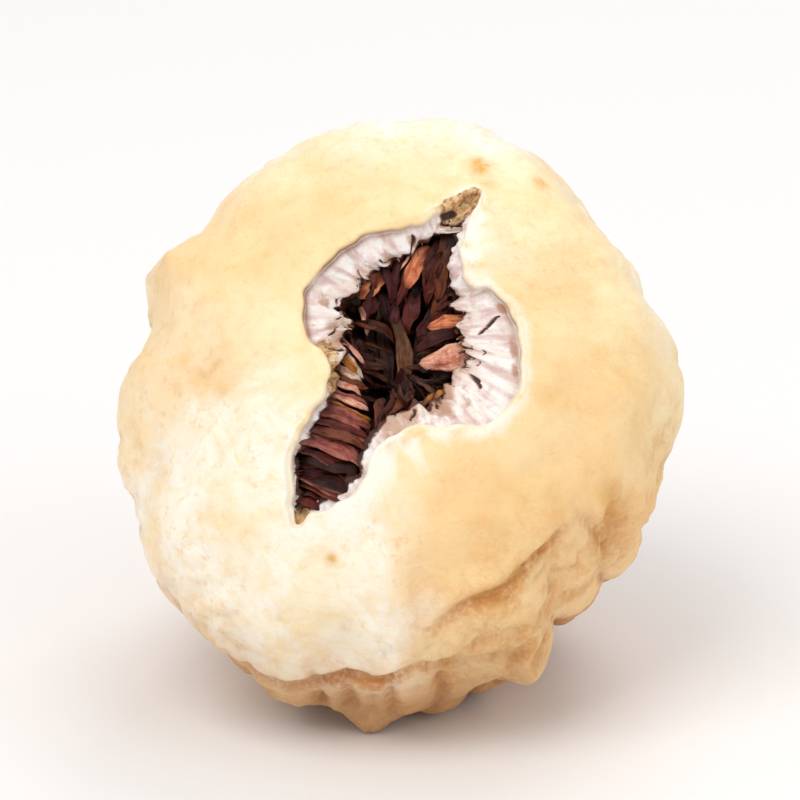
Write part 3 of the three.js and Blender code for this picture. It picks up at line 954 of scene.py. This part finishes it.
face = skin.coated(
    (251, 230, 184),
    ((248, 214, 160), skin.between(broad, 0.35, 0.7)),
    ((241, 198, 138), skin.between(streak, 0.45, 0.75), 0.2),
    ((240, 190, 126), skin.between(mottle, 0.48, 0.75), 0.5),
    # Warm places, and painted shade along the creases.
    ((240, 190, 126), skin.layer("warm_and_crease_shade"), 0.65),
    # Pale skin, partly painted light on the top of the rim and the lower left.
    ((252, 244, 229), skin.layer("pale"), skin.between(cloud, 0.85, 0.3)),
    ((246, 208, 140), skin.between(veins, 0.48, 0.7), 0.3),
    # Pale along the lip, partly a painted highlight.
    ((251, 243, 230), skin.layer("lip_pale_and_lit"), skin.between(mottle, 0.75, 0.45)),
    ((224, 172, 84), skin.layer("stain"), skin.between(mottle, 0.25, 0.55)),
    ((224, 164, 98), skin.layer("leathery"), patches),
    ((236, 184, 116), skin.between(freckles, 0.54, 0.68), skin.between(broad, 0.35, 0.6), 0.4),
)
side = skin.coated(
    (236, 192, 138),
    ((216, 158, 100), skin.between(broad, 0.35, 0.68)),
    ((205, 140, 86), skin.between(mottle, 0.45, 0.75), 0.6),
)
stem = skin.mix((176, 122, 92), (205, 158, 122), skin.between(streak, 0.4, 0.65))
# Tan in the creases: partly brown skin, partly painted shade.
crease_tan_and_shade = skin.mix((190, 120, 56), (150, 90, 50), flank_share)
crease_grain = skin.between(skin.plus(speckle, skin.times(mottle, 0.7)), 0.4, 1.05)
scar = skin.mix((222, 186, 144), (170, 124, 84), skin.between(mottle, 0.4, 0.6))
body_colour = skin.coated(
    face,
    (side, flank_share),
    # Painted shade under the fruit and along the low edge of the eye end.
    ((196, 148, 98), skin.layer("painted_shade_below"), 0.75),
    (stem, skin.layer("stalk"), 0.85),
    (crease_tan_and_shade, skin.layer("crease_brown_and_shade"), crease_grain, 0.98),
    ((252, 236, 208), skin.between(sugar, 0.66, 0.72), skin.between(mottle, 0.4, 0.6), flank_share, 0.5),
    (scar, skin.layer("tip")),
)

# Rind and hollow: white under the lip, with lilac shades, painted shade in the furrows between its
# fibres and brown cracks, then brown and maroon further down; gold-brown scabs where the rind is thin.
fibre = skin.noise(grain_place, 2.6, 5, 0.65)
coarse_fibre = skin.noise(grain_place, 0.9, 3, 0.6)
clump = skin.noise(place, 1.1, 3, 0.6)
deep = skin.layer("deep")
crack = skin.layer("crack")
foot = skin.between(skin.plus(deep, skin.times(clump, 0.5)), 0.6, 1.1)
browning = skin.plus(skin.layer("dirty"), skin.times(clump, 1.2), skin.times(fibre, 0.6))
white = skin.coated(
    (255, 248, 242),
    ((244, 228, 218), skin.between(fibre, 0.45, 0.72)),
    # Painted shade in the rind's furrows.
    ((210, 168, 162), skin.layer("furrow_shade"), skin.between(fibre, 0.2, 0.55), 0.7),
    ((220, 188, 186), skin.between(clump, 0.48, 0.66), 0.55),
    ((206, 160, 140), skin.between(coarse_fibre, 0.55, 0.72), 0.4),
    ((214, 172, 150), foot, 0.45),
    ((184, 134, 96), skin.between(browning, 1.2, 1.7), 0.75),
    ((150, 90, 68), skin.between(crack, 0.1, 0.6), 0.85),
    ((52, 26, 16), skin.between(crack, 0.3, 0.75), 0.95),
)
inner = skin.mix((58, 26, 18), (104, 56, 38), skin.between(coarse_fibre, 0.35, 0.65))
below_white = skin.joined("SUBTRACT", deep, skin.layer("white"))
ragged_foot = skin.plus(skin.times(fibre, 0.3), skin.times(clump, 0.5), -0.4)
pulp = skin.mix(white, inner, skin.between(skin.plus(below_white, ragged_foot), -0.06, 0.08))
scab_fibre = skin.noise(grain_place, 3.2, 4, 0.7)
scab_grit = skin.noise(place, 3.5, 5, 0.7)
scab_grain = skin.plus(skin.times(scab_fibre, 0.5), skin.times(scab_grit, 0.5))
scab_edge = skin.plus(skin.layer("scab"), skin.times(scab_grain, 1.6), -1.3)
scab = skin.coated(
    (228, 190, 136),
    ((154, 108, 66), skin.between(scab_grain, 0.42, 0.58)),
    ((60, 32, 20), skin.between(crack, 0.2, 0.7)),
)
whole = skin.coated(
    body_colour,
    (pulp, skin.layer("rind")),
    (scab, skin.between(scab_edge, -0.14, 0.2)),
    ((152, 100, 60), skin.layer("seam"), 0.95),
)

leather = skin.plus(skin.times(speckle, 0.4), mottle, skin.times(pores, 0.5))
skin_bump = skin.bump(leather, 0.00016, 0.6)
grit = skin.times(skin.layer("leathery"), skin.noise(place, 2.0, 4, 0.65, 0.4))
skin_bump = skin.bump(grit, 0.0006, 0.6, Normal=skin_bump)
wall_bump = skin.bump(skin.plus(skin.times(fibre, 0.6), clump), 0.0003, 0.8, Normal=skin_bump)
bumps = {"Factor": skin.layer("rind"), 4: skin_bump, 5: wall_bump}
normal = skin.node("Mix", 1, bumps, data_type="VECTOR")
skin.set(base_color=whole, normal=normal, roughness=skin.plus(0.40, skin.times(mottle, 0.25)))
skin.set(specular_ior_level=0.4, subsurface_weight=0.25)
skin.set(subsurface_radius=(1.0, 0.6, 0.3), subsurface_scale=0.001)
fruit.data.materials.append(skin.material)
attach(fruit, "root")
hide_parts("fig")

# --- Florets ---------------------------------------------------------------------------------
# The dried flowers that line the fruit, seen through the tear: limp petals and strands, each on a
# thin stem from the rind, shrunk together and sticky with sugar, from maroon to salmon and pink.


def set_down(points):
    """Points beside the fruit's axis, turned and set on the floor just as the fruit is."""
    return lying(points.reshape(-1, 3)) + shift - np.array([0, 0, level_height])


def under_skin(places):
    """Right, up and depth under the level of the skin there, turned into right, up and along."""
    places = np.array(places, float)
    return np.column_stack([places[:, :2], skin_level(places[:, :2]) - places[:, 2]])


def petals(stem, tip, facing, half_width, bow, cup, twist, thickness, rings, sides):
    """Each petal is an oval profile carried along an arc from its stem to its tip: thin at the
    stem, widest past the middle, cupped across, and turned about its length by the twist."""
    t = np.linspace(0, 1, rings + 2)[1:-1, None]
    phi = ring_turns(sides)
    half_width, bow, cup, twist = [np.array(v)[:, None, None] for v in (half_width, bow, cup, twist)]
    way = tip - stem
    side = unit(np.cross(facing, way))[:, None]
    face = unit(np.cross(way[:, None], side))
    arch = bow * length(way)[:, None, None] * 4 * t * (1 - t)
    path = stem[:, None] + way[:, None] * t + face * arch
    turn = twist * (t - 0.5)
    side_now = side * np.cos(turn) + face * np.sin(turn)
    face_now = face * np.cos(turn) - side * np.sin(turn)
    beat = 7 * stem[:, :1, None] + 5 * stem[:, 1:2, None]
    ragged = 1 + 0.07 * np.sin(2 * np.pi * 1.4 * t + beat) + 0.03 * np.sin(2 * np.pi * 3.3 * t + 2 * beat)
    width = half_width * ragged * (np.sin(np.pi * t**1.2) ** 0.6 + 0.25 * (1 - t) + 0.06)
    across = width * np.cos(phi)
    pleat = 0.07 * np.cos(6.5 * np.cos(phi) + beat) * np.sin(np.pi * t)
    lift = width * (thickness * np.sin(phi) + cup * (np.cos(phi) ** 2 - 0.5) + pleat)
    points = path[:, :, None] + side_now[:, :, None] * across[..., None]
    points = points + face_now[:, :, None] * lift[..., None]
    points = points.reshape(len(stem), rings * sides, 3)
    return np.concatenate([points, stem[:, None], tip[:, None]], 1)


def petal_veins(half_width, reach, rings, sides):
    """Where each point of a petal lies on it, for the veins: across, a little of the way along, and
    a place of its own for each petal."""
    t = np.linspace(0, 1, rings + 2)[1:-1][None, :, None]
    across = half_width[:, None, None] * np.cos(ring_turns(sides)) + 0 * t
    along = 0.14 * reach[:, None, None] * t + 0 * across
    own = 3.7 * np.arange(len(reach))[:, None, None] + 0 * across
    veins = np.stack([across, along, own], -1).reshape(len(reach), rings * sides, 3)
    ends = veins[:, [0, -1]] * (0, 1, 1)
    return np.concatenate([veins, ends], 1).reshape(-1, 3)


def shrunk(points, height, size, seed):
    """Points moved aside by three smooth random values of that size, so petals lie crumpled."""
    moved = [drift(points, size, seed + axis) for axis in range(3)]
    return points + height * np.stack(moved, -1)


def petal_faces(count, rings, sides):
    """Quads along each petal, and a fan at its stem and at its tip."""
    start = (np.arange(count) * (rings * sides + 2))[:, None, None]
    quads, fans = grid_faces(rings, sides) + start, closing_fans(rings, sides) + start
    return quads.reshape(-1, 4), fans.reshape(-1, 3)


PETAL_TINTS = {
    "dark": (54, 25, 15), "maroon": (96, 40, 32), "brown": (112, 62, 40), "olive": (114, 79, 52),
    "salmon": (214, 132, 92), "pink": (232, 172, 146), "gold": (196, 130, 62), "ochre": (156, 108, 54),
    "pale": (230, 206, 184), "white": (248, 238, 228), "rose": (158, 92, 82), "plum": (78, 28, 32),
}
# Petals that show: stem and tip (right, up, depth under the skin), half width, bow, cup, tint.
PLACED = (
    ((3.2, 6.9, 1.4), (3.1, 3.6, 2.7), 0.46, 0.06, 0.15, "brown"),
    ((2.9, 7.2, 1.3), (2.5, 3.4, 2.8), 0.42, 0.08, 0.15, "dark"),
    ((2.5, 7.2, 1.4), (2.1, 3.3, 2.7), 0.4, 0.1, 0.15, "brown"),
    ((2.1, 6.9, 1.6), (1.5, 3.2, 2.7), 0.36, 0.08, 0.15, "maroon"),
    ((3.4, 5.6, 2), (3.2, 2.6, 2.9), 0.38, 0.05, 0.15, "dark"),
    ((2.7, 5.4, 2.5), (1.9, 2.3, 3.1), 0.34, 0.05, 0.15, "brown"),
    ((1.7, 6.5, 1.8), (0.4, 3.9, 2.5), 0.4, 0.12, 0.25, "salmon"),
    ((1.3, 6.6, 1.9), (-0.2, 3, 2.9), 0.26, 0.06, 0.1, "maroon"),
    ((0.3, 6.1, 2), (-0.5, 3.2, 2.8), 0.22, 0.1, 0, "plum"),
    ((1.3, 6.7, 1.5), (-0.3, 4.3, 2.4), 0.07, 0.05, 0, "pink"),
    ((-0.8, 5.6, 2), (-0.4, 3.4, 2.6), 0.2, 0.12, 0, "plum"),
    ((-0.6, 4.9, 2.4), (-2.2, 3.3, 2.5), 0.44, 0.16, 0.25, "salmon"),
    ((-0.9, 4.1, 2.8), (-2, 2.5, 2.9), 0.3, 0.1, 0.2, "maroon"),
    ((-0.3, 3.7, 2.9), (-0.1, 1.6, 3.2), 0.26, 0.05, 0.1, "plum"),
    ((-2, 3, 2.6), (-1.6, 1.2, 3), 0.16, 0.08, 0, "pink"),
    ((0.9, 4.6, 3), (0.5, 1.5, 3.4), 0.34, 0.05, 0.2, "maroon"),
    ((1.9, 3.6, 3.1), (1.2, 0.8, 3.5), 0.34, 0.05, 0.2, "plum"),
    ((3.2, 3.1, 2.7), (1.7, 2.1, 3.1), 0.34, 0.08, 0.1, "maroon"),
    ((-0.2, 3, 3.3), (0.5, -1.9, 3.6), 0.4, 0.1, 0.3, "olive"),
    ((-0.8, 2.6, 3.6), (-0.5, -1.6, 3.9), 0.34, 0.06, 0.2, "dark"),
    ((1.1, 2.4, 4), (1.2, -1.4, 4.2), 0.36, 0.05, 0.2, "dark"),
    ((-1.6, 2.6, 3.6), (-1.3, -0.8, 4), 0.34, 0.05, 0.2, "dark"),
    ((5, 1.9, 1.9), (1.5, 1.5, 2.2), 0.5, 0.03, 0.12, "salmon"),
    ((5, 0.2, 1.9), (1.2, -0.6, 2.1), 0.58, 0.03, 0.12, "pink"),
    ((3.7, 1.2, 2.5), (1.4, 0.8, 2.9), 0.34, 0.05, 0.1, "plum"),
    ((3.6, -0.5, 2.5), (1.6, -1.3, 2.8), 0.3, 0.05, 0.1, "dark"),
    ((-3.2, 1, 1.9), (-1.8, -0.7, 2.2), 0.12, 0.1, 0, "pink"),
    ((-3.2, 0.4, 2.1), (-1.9, -1.4, 2.3), 0.17, 0.12, 0.1, "pale"),
    ((-3.4, 0, 1.9), (-2.3, -1.2, 2.2), 0.2, 0.15, 0.1, "gold"),
    ((-3.6, -0.6, 1.8), (-2, -1.7, 2.1), 0.18, 0.2, 0.1, "pale"),
    ((-3.6, -1.1, 1.7), (-1.7, -2.2, 2.1), 0.19, 0.2, 0.1, "brown"),
    ((-3.7, -1.5, 1.6), (-1.9, -2.6, 2), 0.2, 0.22, 0, "pink"),
    ((-3.9, -1.9, 1.6), (-1.6, -3.1, 2), 0.18, 0.22, 0, "rose"),
    ((-4, -2.4, 1.5), (-1.6, -3.4, 1.9), 0.2, 0.22, 0, "pink"),
    ((-4.1, -2.8, 1.4), (-1.4, -3.9, 1.8), 0.2, 0.2, 0.1, "gold"),
    ((-4.3, -3.2, 1.3), (-1.4, -4.3, 1.6), 0.24, 0.2, 0.1, "rose"),
    ((-0.9, -2.6, 1.9), (-1.2, -4.6, 1.3), 0.22, 0.1, 0.1, "brown"),
    ((0.9, -2.2, 2.2), (-0.9, -3.9, 1.6), 0.26, 0.1, 0.1, "brown"),
    ((1.2, -3.5, 1.4), (1.9, -2.3, 2), 0.17, 0.15, 0.1, "ochre"),
    ((1.9, -3, 1.5), (2.4, -2.2, 2), 0.15, 0.15, 0.1, "gold"),
    ((2.5, -2.8, 1.7), (2.6, -1.9, 2.1), 0.14, 0.15, 0.1, "ochre"),
    ((3.1, -2.3, 1.9), (2.9, -1.6, 2.2), 0.13, 0.15, 0.1, "gold"),
    ((1, 7.25, 0.95), (3.5, 6.95, 0.95), 0.18, 0.08, 0, "white"),
)


def tint_chart(names):
    """The chart colours of petals whose tints have those names."""
    return np.array([PETAL_TINTS[name] for name in names], float)


def to_middle(points, rise=0.0):
    """From each point straight to the middle line of the hollow, with a rise along the axis."""
    return np.column_stack([HOLLOW_CENTRE - points[:, :2], np.full(len(points), rise)])


# Petals packed across the lower arm of the tear, each lapping over the next like roof tiles, and
# turned a little to face up and right.
# Their tints run darker towards the lower end of the arm, partly their own colour, partly painted shade.
PACKED_TINTS = (
    "rose", "maroon", "rose", "brown", "plum", "rose", "maroon", "dark", "rose", "plum", "maroon",
    "dark", "brown", "plum", "dark", "maroon", "dark",
)
PACKED = len(PACKED_TINTS)
packed_share = np.linspace(0, 1, PACKED)
draw = np.random.default_rng(71)
packed_stem = np.stack([
    np.interp(packed_share, (0, 0.35, 1), (-4.9, -5.8, -5.6)),
    -3.6 - 5.0 * packed_share,
    1.25 - 0.35 * packed_share,
], -1)
packed_tip = np.stack([
    np.interp(packed_share, (0, 0.35, 0.7, 1), (-1.2, -1.7, -2.6, -4.6)),
    np.interp(packed_share, (0, 0.3, 0.6, 1), (-5.0, -6.9, -8.1, -9.1)),
    1.25 - 0.45 * packed_share,
], -1)
packed_stem += draw.normal(0, 0.17, packed_stem.shape)
packed_tip += draw.normal(0, 0.24, packed_tip.shape)
stems, tips, widths, bows, cups, tint_names = zip(*PLACED)
placed_stem = under_skin(np.concatenate([stems, packed_stem]))
placed_tip = under_skin(np.concatenate([tips, packed_tip]))
placed_width = np.concatenate([widths, draw.uniform(0.26, 0.50, PACKED)])
placed_bow = np.concatenate([bows, draw.uniform(0.05, 0.2, PACKED)])
placed_cup = np.concatenate([cups, draw.uniform(-0.3, 0.15, PACKED)])
placed_tint = tint_chart(tint_names + PACKED_TINTS)
placed_facing = (0, -0.15, 1) + draw.normal(0, 0.15, placed_stem.shape)
placed_facing[-PACKED:] += draw.normal((0.25, 0.55, 0), 0.12, (PACKED, 3))
placed_twist = draw.normal(0, 0.25, len(placed_stem))

# Between them and behind, broad petals at random, from the wall of the hollow towards its middle.
# They stay short where the wall shows: a place around the tear, in mm from its upper tip.
BROAD = 90
BROAD_TINTS = ("dark", "maroon", "plum", "brown", "dark", "olive")
BARE_PLACE, BARE_HALF = 44, 1.6
broad_column = draw.integers(0, COLUMNS, BROAD)
broad_stem = hollow_points[draw.integers(1, 12, BROAD), broad_column]
broad_in = unit(to_middle(broad_stem))
broad_in += draw.normal(0, 0.3, broad_in.shape)
broad_in[:, 2] = draw.uniform(-0.3, 0.2, BROAD)
broad_length = draw.uniform(1.8, 3.4, (BROAD, 1))
bare = np.abs(column_run - BARE_PLACE) < BARE_HALF
broad_length = np.where(bare[broad_column][:, None], 0.6, broad_length)
broad_width = draw.uniform(0.18, 0.36, BROAD)
broad_bow = draw.normal(0.05, 0.10, BROAD)
broad_cup = draw.uniform(0, 0.3, BROAD)
broad_tint = tint_chart(BROAD_TINTS)[draw.integers(0, len(BROAD_TINTS), BROAD)]
broad_tint *= draw.uniform(0.42, 0.78, (BROAD, 1))
placed_stem = np.concatenate([placed_stem, broad_stem])
placed_tip = np.concatenate([placed_tip, broad_stem + unit(broad_in) * broad_length])
placed_width = np.concatenate([placed_width, broad_width])
placed_bow = np.concatenate([placed_bow, broad_bow])
placed_cup = np.concatenate([placed_cup, broad_cup])
placed_tint = np.concatenate([placed_tint, broad_tint])
placed_facing = np.concatenate([placed_facing, draw.normal((0, 0, 1), 0.4, (BROAD, 3))])
placed_twist = np.concatenate([placed_twist, draw.normal(0, 0.6, BROAD)])
PLACED_THICKNESS = 0.3
PLACED_GRID = 16, 18
placed_points = petals(
    placed_stem, placed_tip, placed_facing, placed_width, placed_bow, placed_cup, placed_twist,
    PLACED_THICKNESS, *PLACED_GRID,
)
placed_points = shrunk(shrunk(placed_points, 0.12, 1.8, 91), 0.025, 0.6, 94)

# The rest, at random: stems all over the wall of the hollow and along the foot of the rind, tips
# towards the middle of the hollow and up.
STRANDS = 560
FRINGE = 110
ROOT_DEPTH = 0.12
EVERY = STRANDS + FRINGE
DEEP_TINTS = ("dark", "dark", "maroon", "plum", "brown", "olive", "maroon")
FRINGE_TINTS = ("brown", "rose", "pale", "pink", "brown", "ochre")
strand_column = draw.integers(0, COLUMNS, EVERY)
strand_stem = hollow_points[draw.integers(1, 22, EVERY), strand_column]
fringe_row = draw.integers(RIND_ROWS - 8, RIND_ROWS, FRINGE)
strand_stem[STRANDS:] = rind_points[fringe_row, strand_column[STRANDS:]]
inward = to_middle(strand_stem)
reach_in = length(inward)
inward = inward / np.maximum(reach_in, 0.3)[:, None] + draw.normal(0, 0.35, inward.shape)
inward[:, 2] = draw.uniform(-0.3, 0.35, EVERY)
inward[STRANDS:, 2] -= 0.4
strand_length = draw.uniform(1.4, 3.0, EVERY)
strand_length[STRANDS:] = draw.uniform(0.25, 0.6, FRINGE)
strand_length = np.where(bare[strand_column], 0.25, strand_length)
strand_length = np.minimum(strand_length, np.maximum(reach_in * 0.95, 0.4))
strand_stem = strand_stem - unit(inward) * ROOT_DEPTH
strand_tip = strand_stem + unit(inward) * strand_length[:, None]
strand_width = draw.uniform(0.08, 0.17, EVERY)
strand_width[STRANDS:] = draw.uniform(0.03, 0.06, FRINGE)
strand_bow = draw.normal(0.05, 0.15, EVERY)
strand_cup = draw.uniform(0, 0.2, EVERY)
strand_twist = draw.normal(0, 1.0, EVERY)
strand_facing = (0, 0, 1) + draw.normal(0, 0.5, strand_stem.shape)
STRAND_THICKNESS = 0.5
STRAND_GRID = 7, 6
strand_points = petals(
    strand_stem, strand_tip, strand_facing, strand_width, strand_bow, strand_cup, strand_twist,
    STRAND_THICKNESS, *STRAND_GRID,
)
strand_points = shrunk(strand_points, 0.12, 1.2, 97)
strand_tint = tint_chart(DEEP_TINTS)[draw.integers(0, len(DEEP_TINTS), EVERY)]
fringe_tint = tint_chart(FRINGE_TINTS)[draw.integers(0, len(FRINGE_TINTS), FRINGE)]
strand_tint[STRANDS:] = fringe_tint
strand_tint *= draw.uniform(0.6, 1.0, (EVERY, 1))

placed_faces = petal_faces(len(placed_stem), *PLACED_GRID)
strand_faces = petal_faces(EVERY, *STRAND_GRID)
floret_points = np.concatenate([placed_points.reshape(-1, 3), strand_points.reshape(-1, 3)])
first_strand = len(floret_points) - strand_points.size // 3
both_faces = zip(placed_faces, strand_faces)
floret_faces = [np.concatenate([one, other + first_strand]) for one, other in both_faces]
florets = mesh_piece("florets", set_down(floret_points), *floret_faces)


def petal_shade(tint, edge_highlight_share, rings, sides):
    """A petal's colour at each of its points: its tint, darker at the stem, with a painted highlight
    along the edges.
    """
    t = np.linspace(0, 1, rings + 2)[1:-1][:, None]
    edge_highlight = np.abs(np.cos(ring_turns(sides))) ** 12
    depth = np.concatenate([(0.6 + 0.45 * smoothstep(t, 0, 0.6) + 0 * edge_highlight).ravel(), [0.6, 1.05]])
    rim = np.concatenate([(edge_highlight + 0 * t).ravel(), [0, 0.3]])
    chart = tint[:, None] * depth[None, :, None]
    chart = chart + edge_highlight_share[:, None, None] * rim[None, :, None] * (np.array([226, 188, 172]) - chart)
    return (np.clip(chart / 255, 0, 0.97) ** 2.2).reshape(-1, 3)


# Painted highlights along the edges of the petals, stronger on some of the packed ones.
edge_highlight_share = np.full(len(placed_stem), 0.08)
edge_highlight_share[len(PLACED) : len(PLACED) + PACKED] = draw.choice((0.05, 0.2, 0.6), PACKED)
per_vertex(florets, "tint", np.concatenate([
    petal_shade(placed_tint, edge_highlight_share, *PLACED_GRID),
    petal_shade(strand_tint, np.full(EVERY, 0.1), *STRAND_GRID),
]))
per_vertex(florets, "veins", np.concatenate([
    petal_veins(placed_width, length(placed_tip - placed_stem), *PLACED_GRID),
    petal_veins(strand_width, strand_length, *STRAND_GRID),
]))
petal = Finish("dried_petal")
petal_blotch = petal.noise(petal.place(), 1.8, 4, 0.6)
petal_vein = petal.noise(petal.layer("veins", "Vector"), 5.0, 4, 0.65)
tint = petal.layer("tint", "Color")
shaded = petal.mix(tint, (196, 164, 150), petal.between(petal_vein, 0.42, 0.62), blend="MULTIPLY")
shaded = petal.mix(shaded, (200, 160, 146), petal.between(petal_blotch, 0.45, 0.7), blend="MULTIPLY")
petal.set(base_color=shaded, roughness=petal.plus(0.30, petal.times(petal_blotch, 0.3)))
petal.set(normal=petal.bump(petal.plus(petal_vein, petal.times(petal_blotch, 0.4)), 0.00016, 0.9))
petal.set(specular_ior_level=0.22, subsurface_weight=0.12)
petal.set(subsurface_radius=(1.0, 0.4, 0.25), subsurface_scale=0.0005)
florets.data.materials.append(petal.material)
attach(florets, "root")

# --- Seeds -----------------------------------------------------------------------------------
# Small hard golden seeds, one to a ripened floret, stuck among the dried petals with sugar. Each
# is a drop, a little flattened and rounder at one end.
SEEDS = 20
SEED_GRID = 9, 10
SEED_HALF, SEED_WIDE, SEED_FLAT = 0.62, 0.44, 0.8
draw = np.random.default_rng(81)
seed_column = draw.integers(0, COLUMNS, SEEDS)
seed_place = hollow_points[draw.integers(4, 14, SEEDS), seed_column]
seed_in = unit(to_middle(seed_place, 0.4))
seed_place = seed_place + seed_in * draw.uniform(0.3, 0.8, (SEEDS, 1))
seed_axis = unit(draw.normal(size=(SEEDS, 3)))
seed_side = unit(np.cross(seed_axis, seed_in))
seed_up = np.cross(seed_axis, seed_side)
seed_turn = np.linspace(0, np.pi, SEED_GRID[0] + 2)[1:-1, None]
seed_phi = ring_turns(SEED_GRID[1])
seed_wide = SEED_WIDE * np.sin(seed_turn) * (1 + 0.25 * np.cos(seed_turn))
seed_ring = np.stack([
    -SEED_HALF * np.cos(seed_turn) + 0 * seed_phi,
    seed_wide * np.cos(seed_phi),
    SEED_FLAT * seed_wide * np.sin(seed_phi),
], -1).reshape(-1, 3)
seed_shape = np.concatenate([seed_ring, [(-SEED_HALF, 0, 0), (SEED_HALF, 0, 0)]])
seed_size = draw.uniform(0.85, 1.1, (SEEDS, 1, 1))
seed_axes = np.stack([seed_axis, seed_side, seed_up], 1)
seed_points = seed_place[:, None] + seed_size * (seed_shape @ seed_axes)
seeds = mesh_piece("seeds", set_down(seed_points), *petal_faces(SEEDS, *SEED_GRID))
seed = Finish("seed_shell")
seed_mottle = seed.noise(seed.place(), 1.6, 3, 0.6)
seed_gold = seed.mix((196, 146, 84), (160, 106, 56), seed.between(seed_mottle, 0.35, 0.65))
seed.set(base_color=seed_gold, normal=seed.bump(seed_mottle, 0.00005, 0.6), roughness=0.32)
seeds.data.materials.append(seed.material)
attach(seeds, "root")

# --- Floor -----------------------------------------------------------------------------------
# A sheet of white paper, far wider than the view, that the fruit rests on. It is only there for
# its shadow and the light it throws back.
FLOOR_HALF = 3000
corners = FLOOR_HALF * np.array([(-1, -1, 0), (1, -1, 0), (1, 1, 0), (-1, 1, 0)])
floor = mesh_piece("floor", corners, np.array([(0, 1, 2, 3)]), np.empty((0, 3), int))
paper = Finish("paper")
paper.set(base_color=(0.86, 0.85, 0.85, 1), roughness=0.8)
floor.data.materials.append(paper.material)

# --- Light -----------------------------------------------------------------------------------
# A white sky all round, a broad lamp from the upper left in front, one behind, and a weak one from
# the right.
world = bpy.data.worlds.new("studio")
world.use_nodes = True
world.node_tree.nodes["Background"].inputs["Color"].default_value = (1, 1, 1, 1)
world.node_tree.nodes["Background"].inputs["Strength"].default_value = 0.6
bpy.context.scene.world = world


def soft_light(name, place, aim, size, power, colour):
    """A square area light at place, turned to face aim."""
    light = bpy.data.lights.new(name, "AREA")
    light.shape = "SQUARE"
    light.size = size
    light.energy = power
    light.color = colour
    lamp = bpy.data.objects.new(name, light)
    lamp.location = place
    lamp.rotation_euler = (Vector(aim) - Vector(place)).to_track_quat("-Z", "Y").to_euler()
    bpy.context.scene.collection.objects.link(lamp)


middle = (cad_low + cad_high) / 2
soft_light("window", (-0.18, -0.22, 0.42), middle, 0.3, 1.15, (1, 0.985, 0.965))
soft_light("back", (0.12, 0.26, 0.42), middle, 0.3, 0.7, (1, 0.985, 0.965))
soft_light("fill", (0.36, -0.3, 0.3), middle, 0.4, 0.5, (1, 0.975, 0.95))

# --- Camera ----------------------------------------------------------------------------------
# A long lens straight in front of the torn eye, looking down at it a little, and as far off as
# makes the fruit fill about two thirds of the view.
CAMERA_ELEVATION = np.radians(20)
LENS = 200
SENSOR = 36
VIEW_WIDTH = 0.0455
distance = VIEW_WIDTH * LENS / SENSOR
towards_camera = Vector((0, -np.cos(CAMERA_ELEVATION), np.sin(CAMERA_ELEVATION)))
camera_data = bpy.data.cameras.new("camera")
camera_data.lens = LENS
camera_data.sensor_width = SENSOR
camera_data.clip_start = 0.01
camera = bpy.data.objects.new("camera", camera_data)
camera.location = middle + towards_camera * distance
camera.rotation_euler = (-towards_camera).to_track_quat("-Z", "Y").to_euler()
bpy.context.scene.collection.objects.link(camera)
bpy.context.scene.camera = camera
bpy.context.scene.view_settings.view_transform = "Standard"
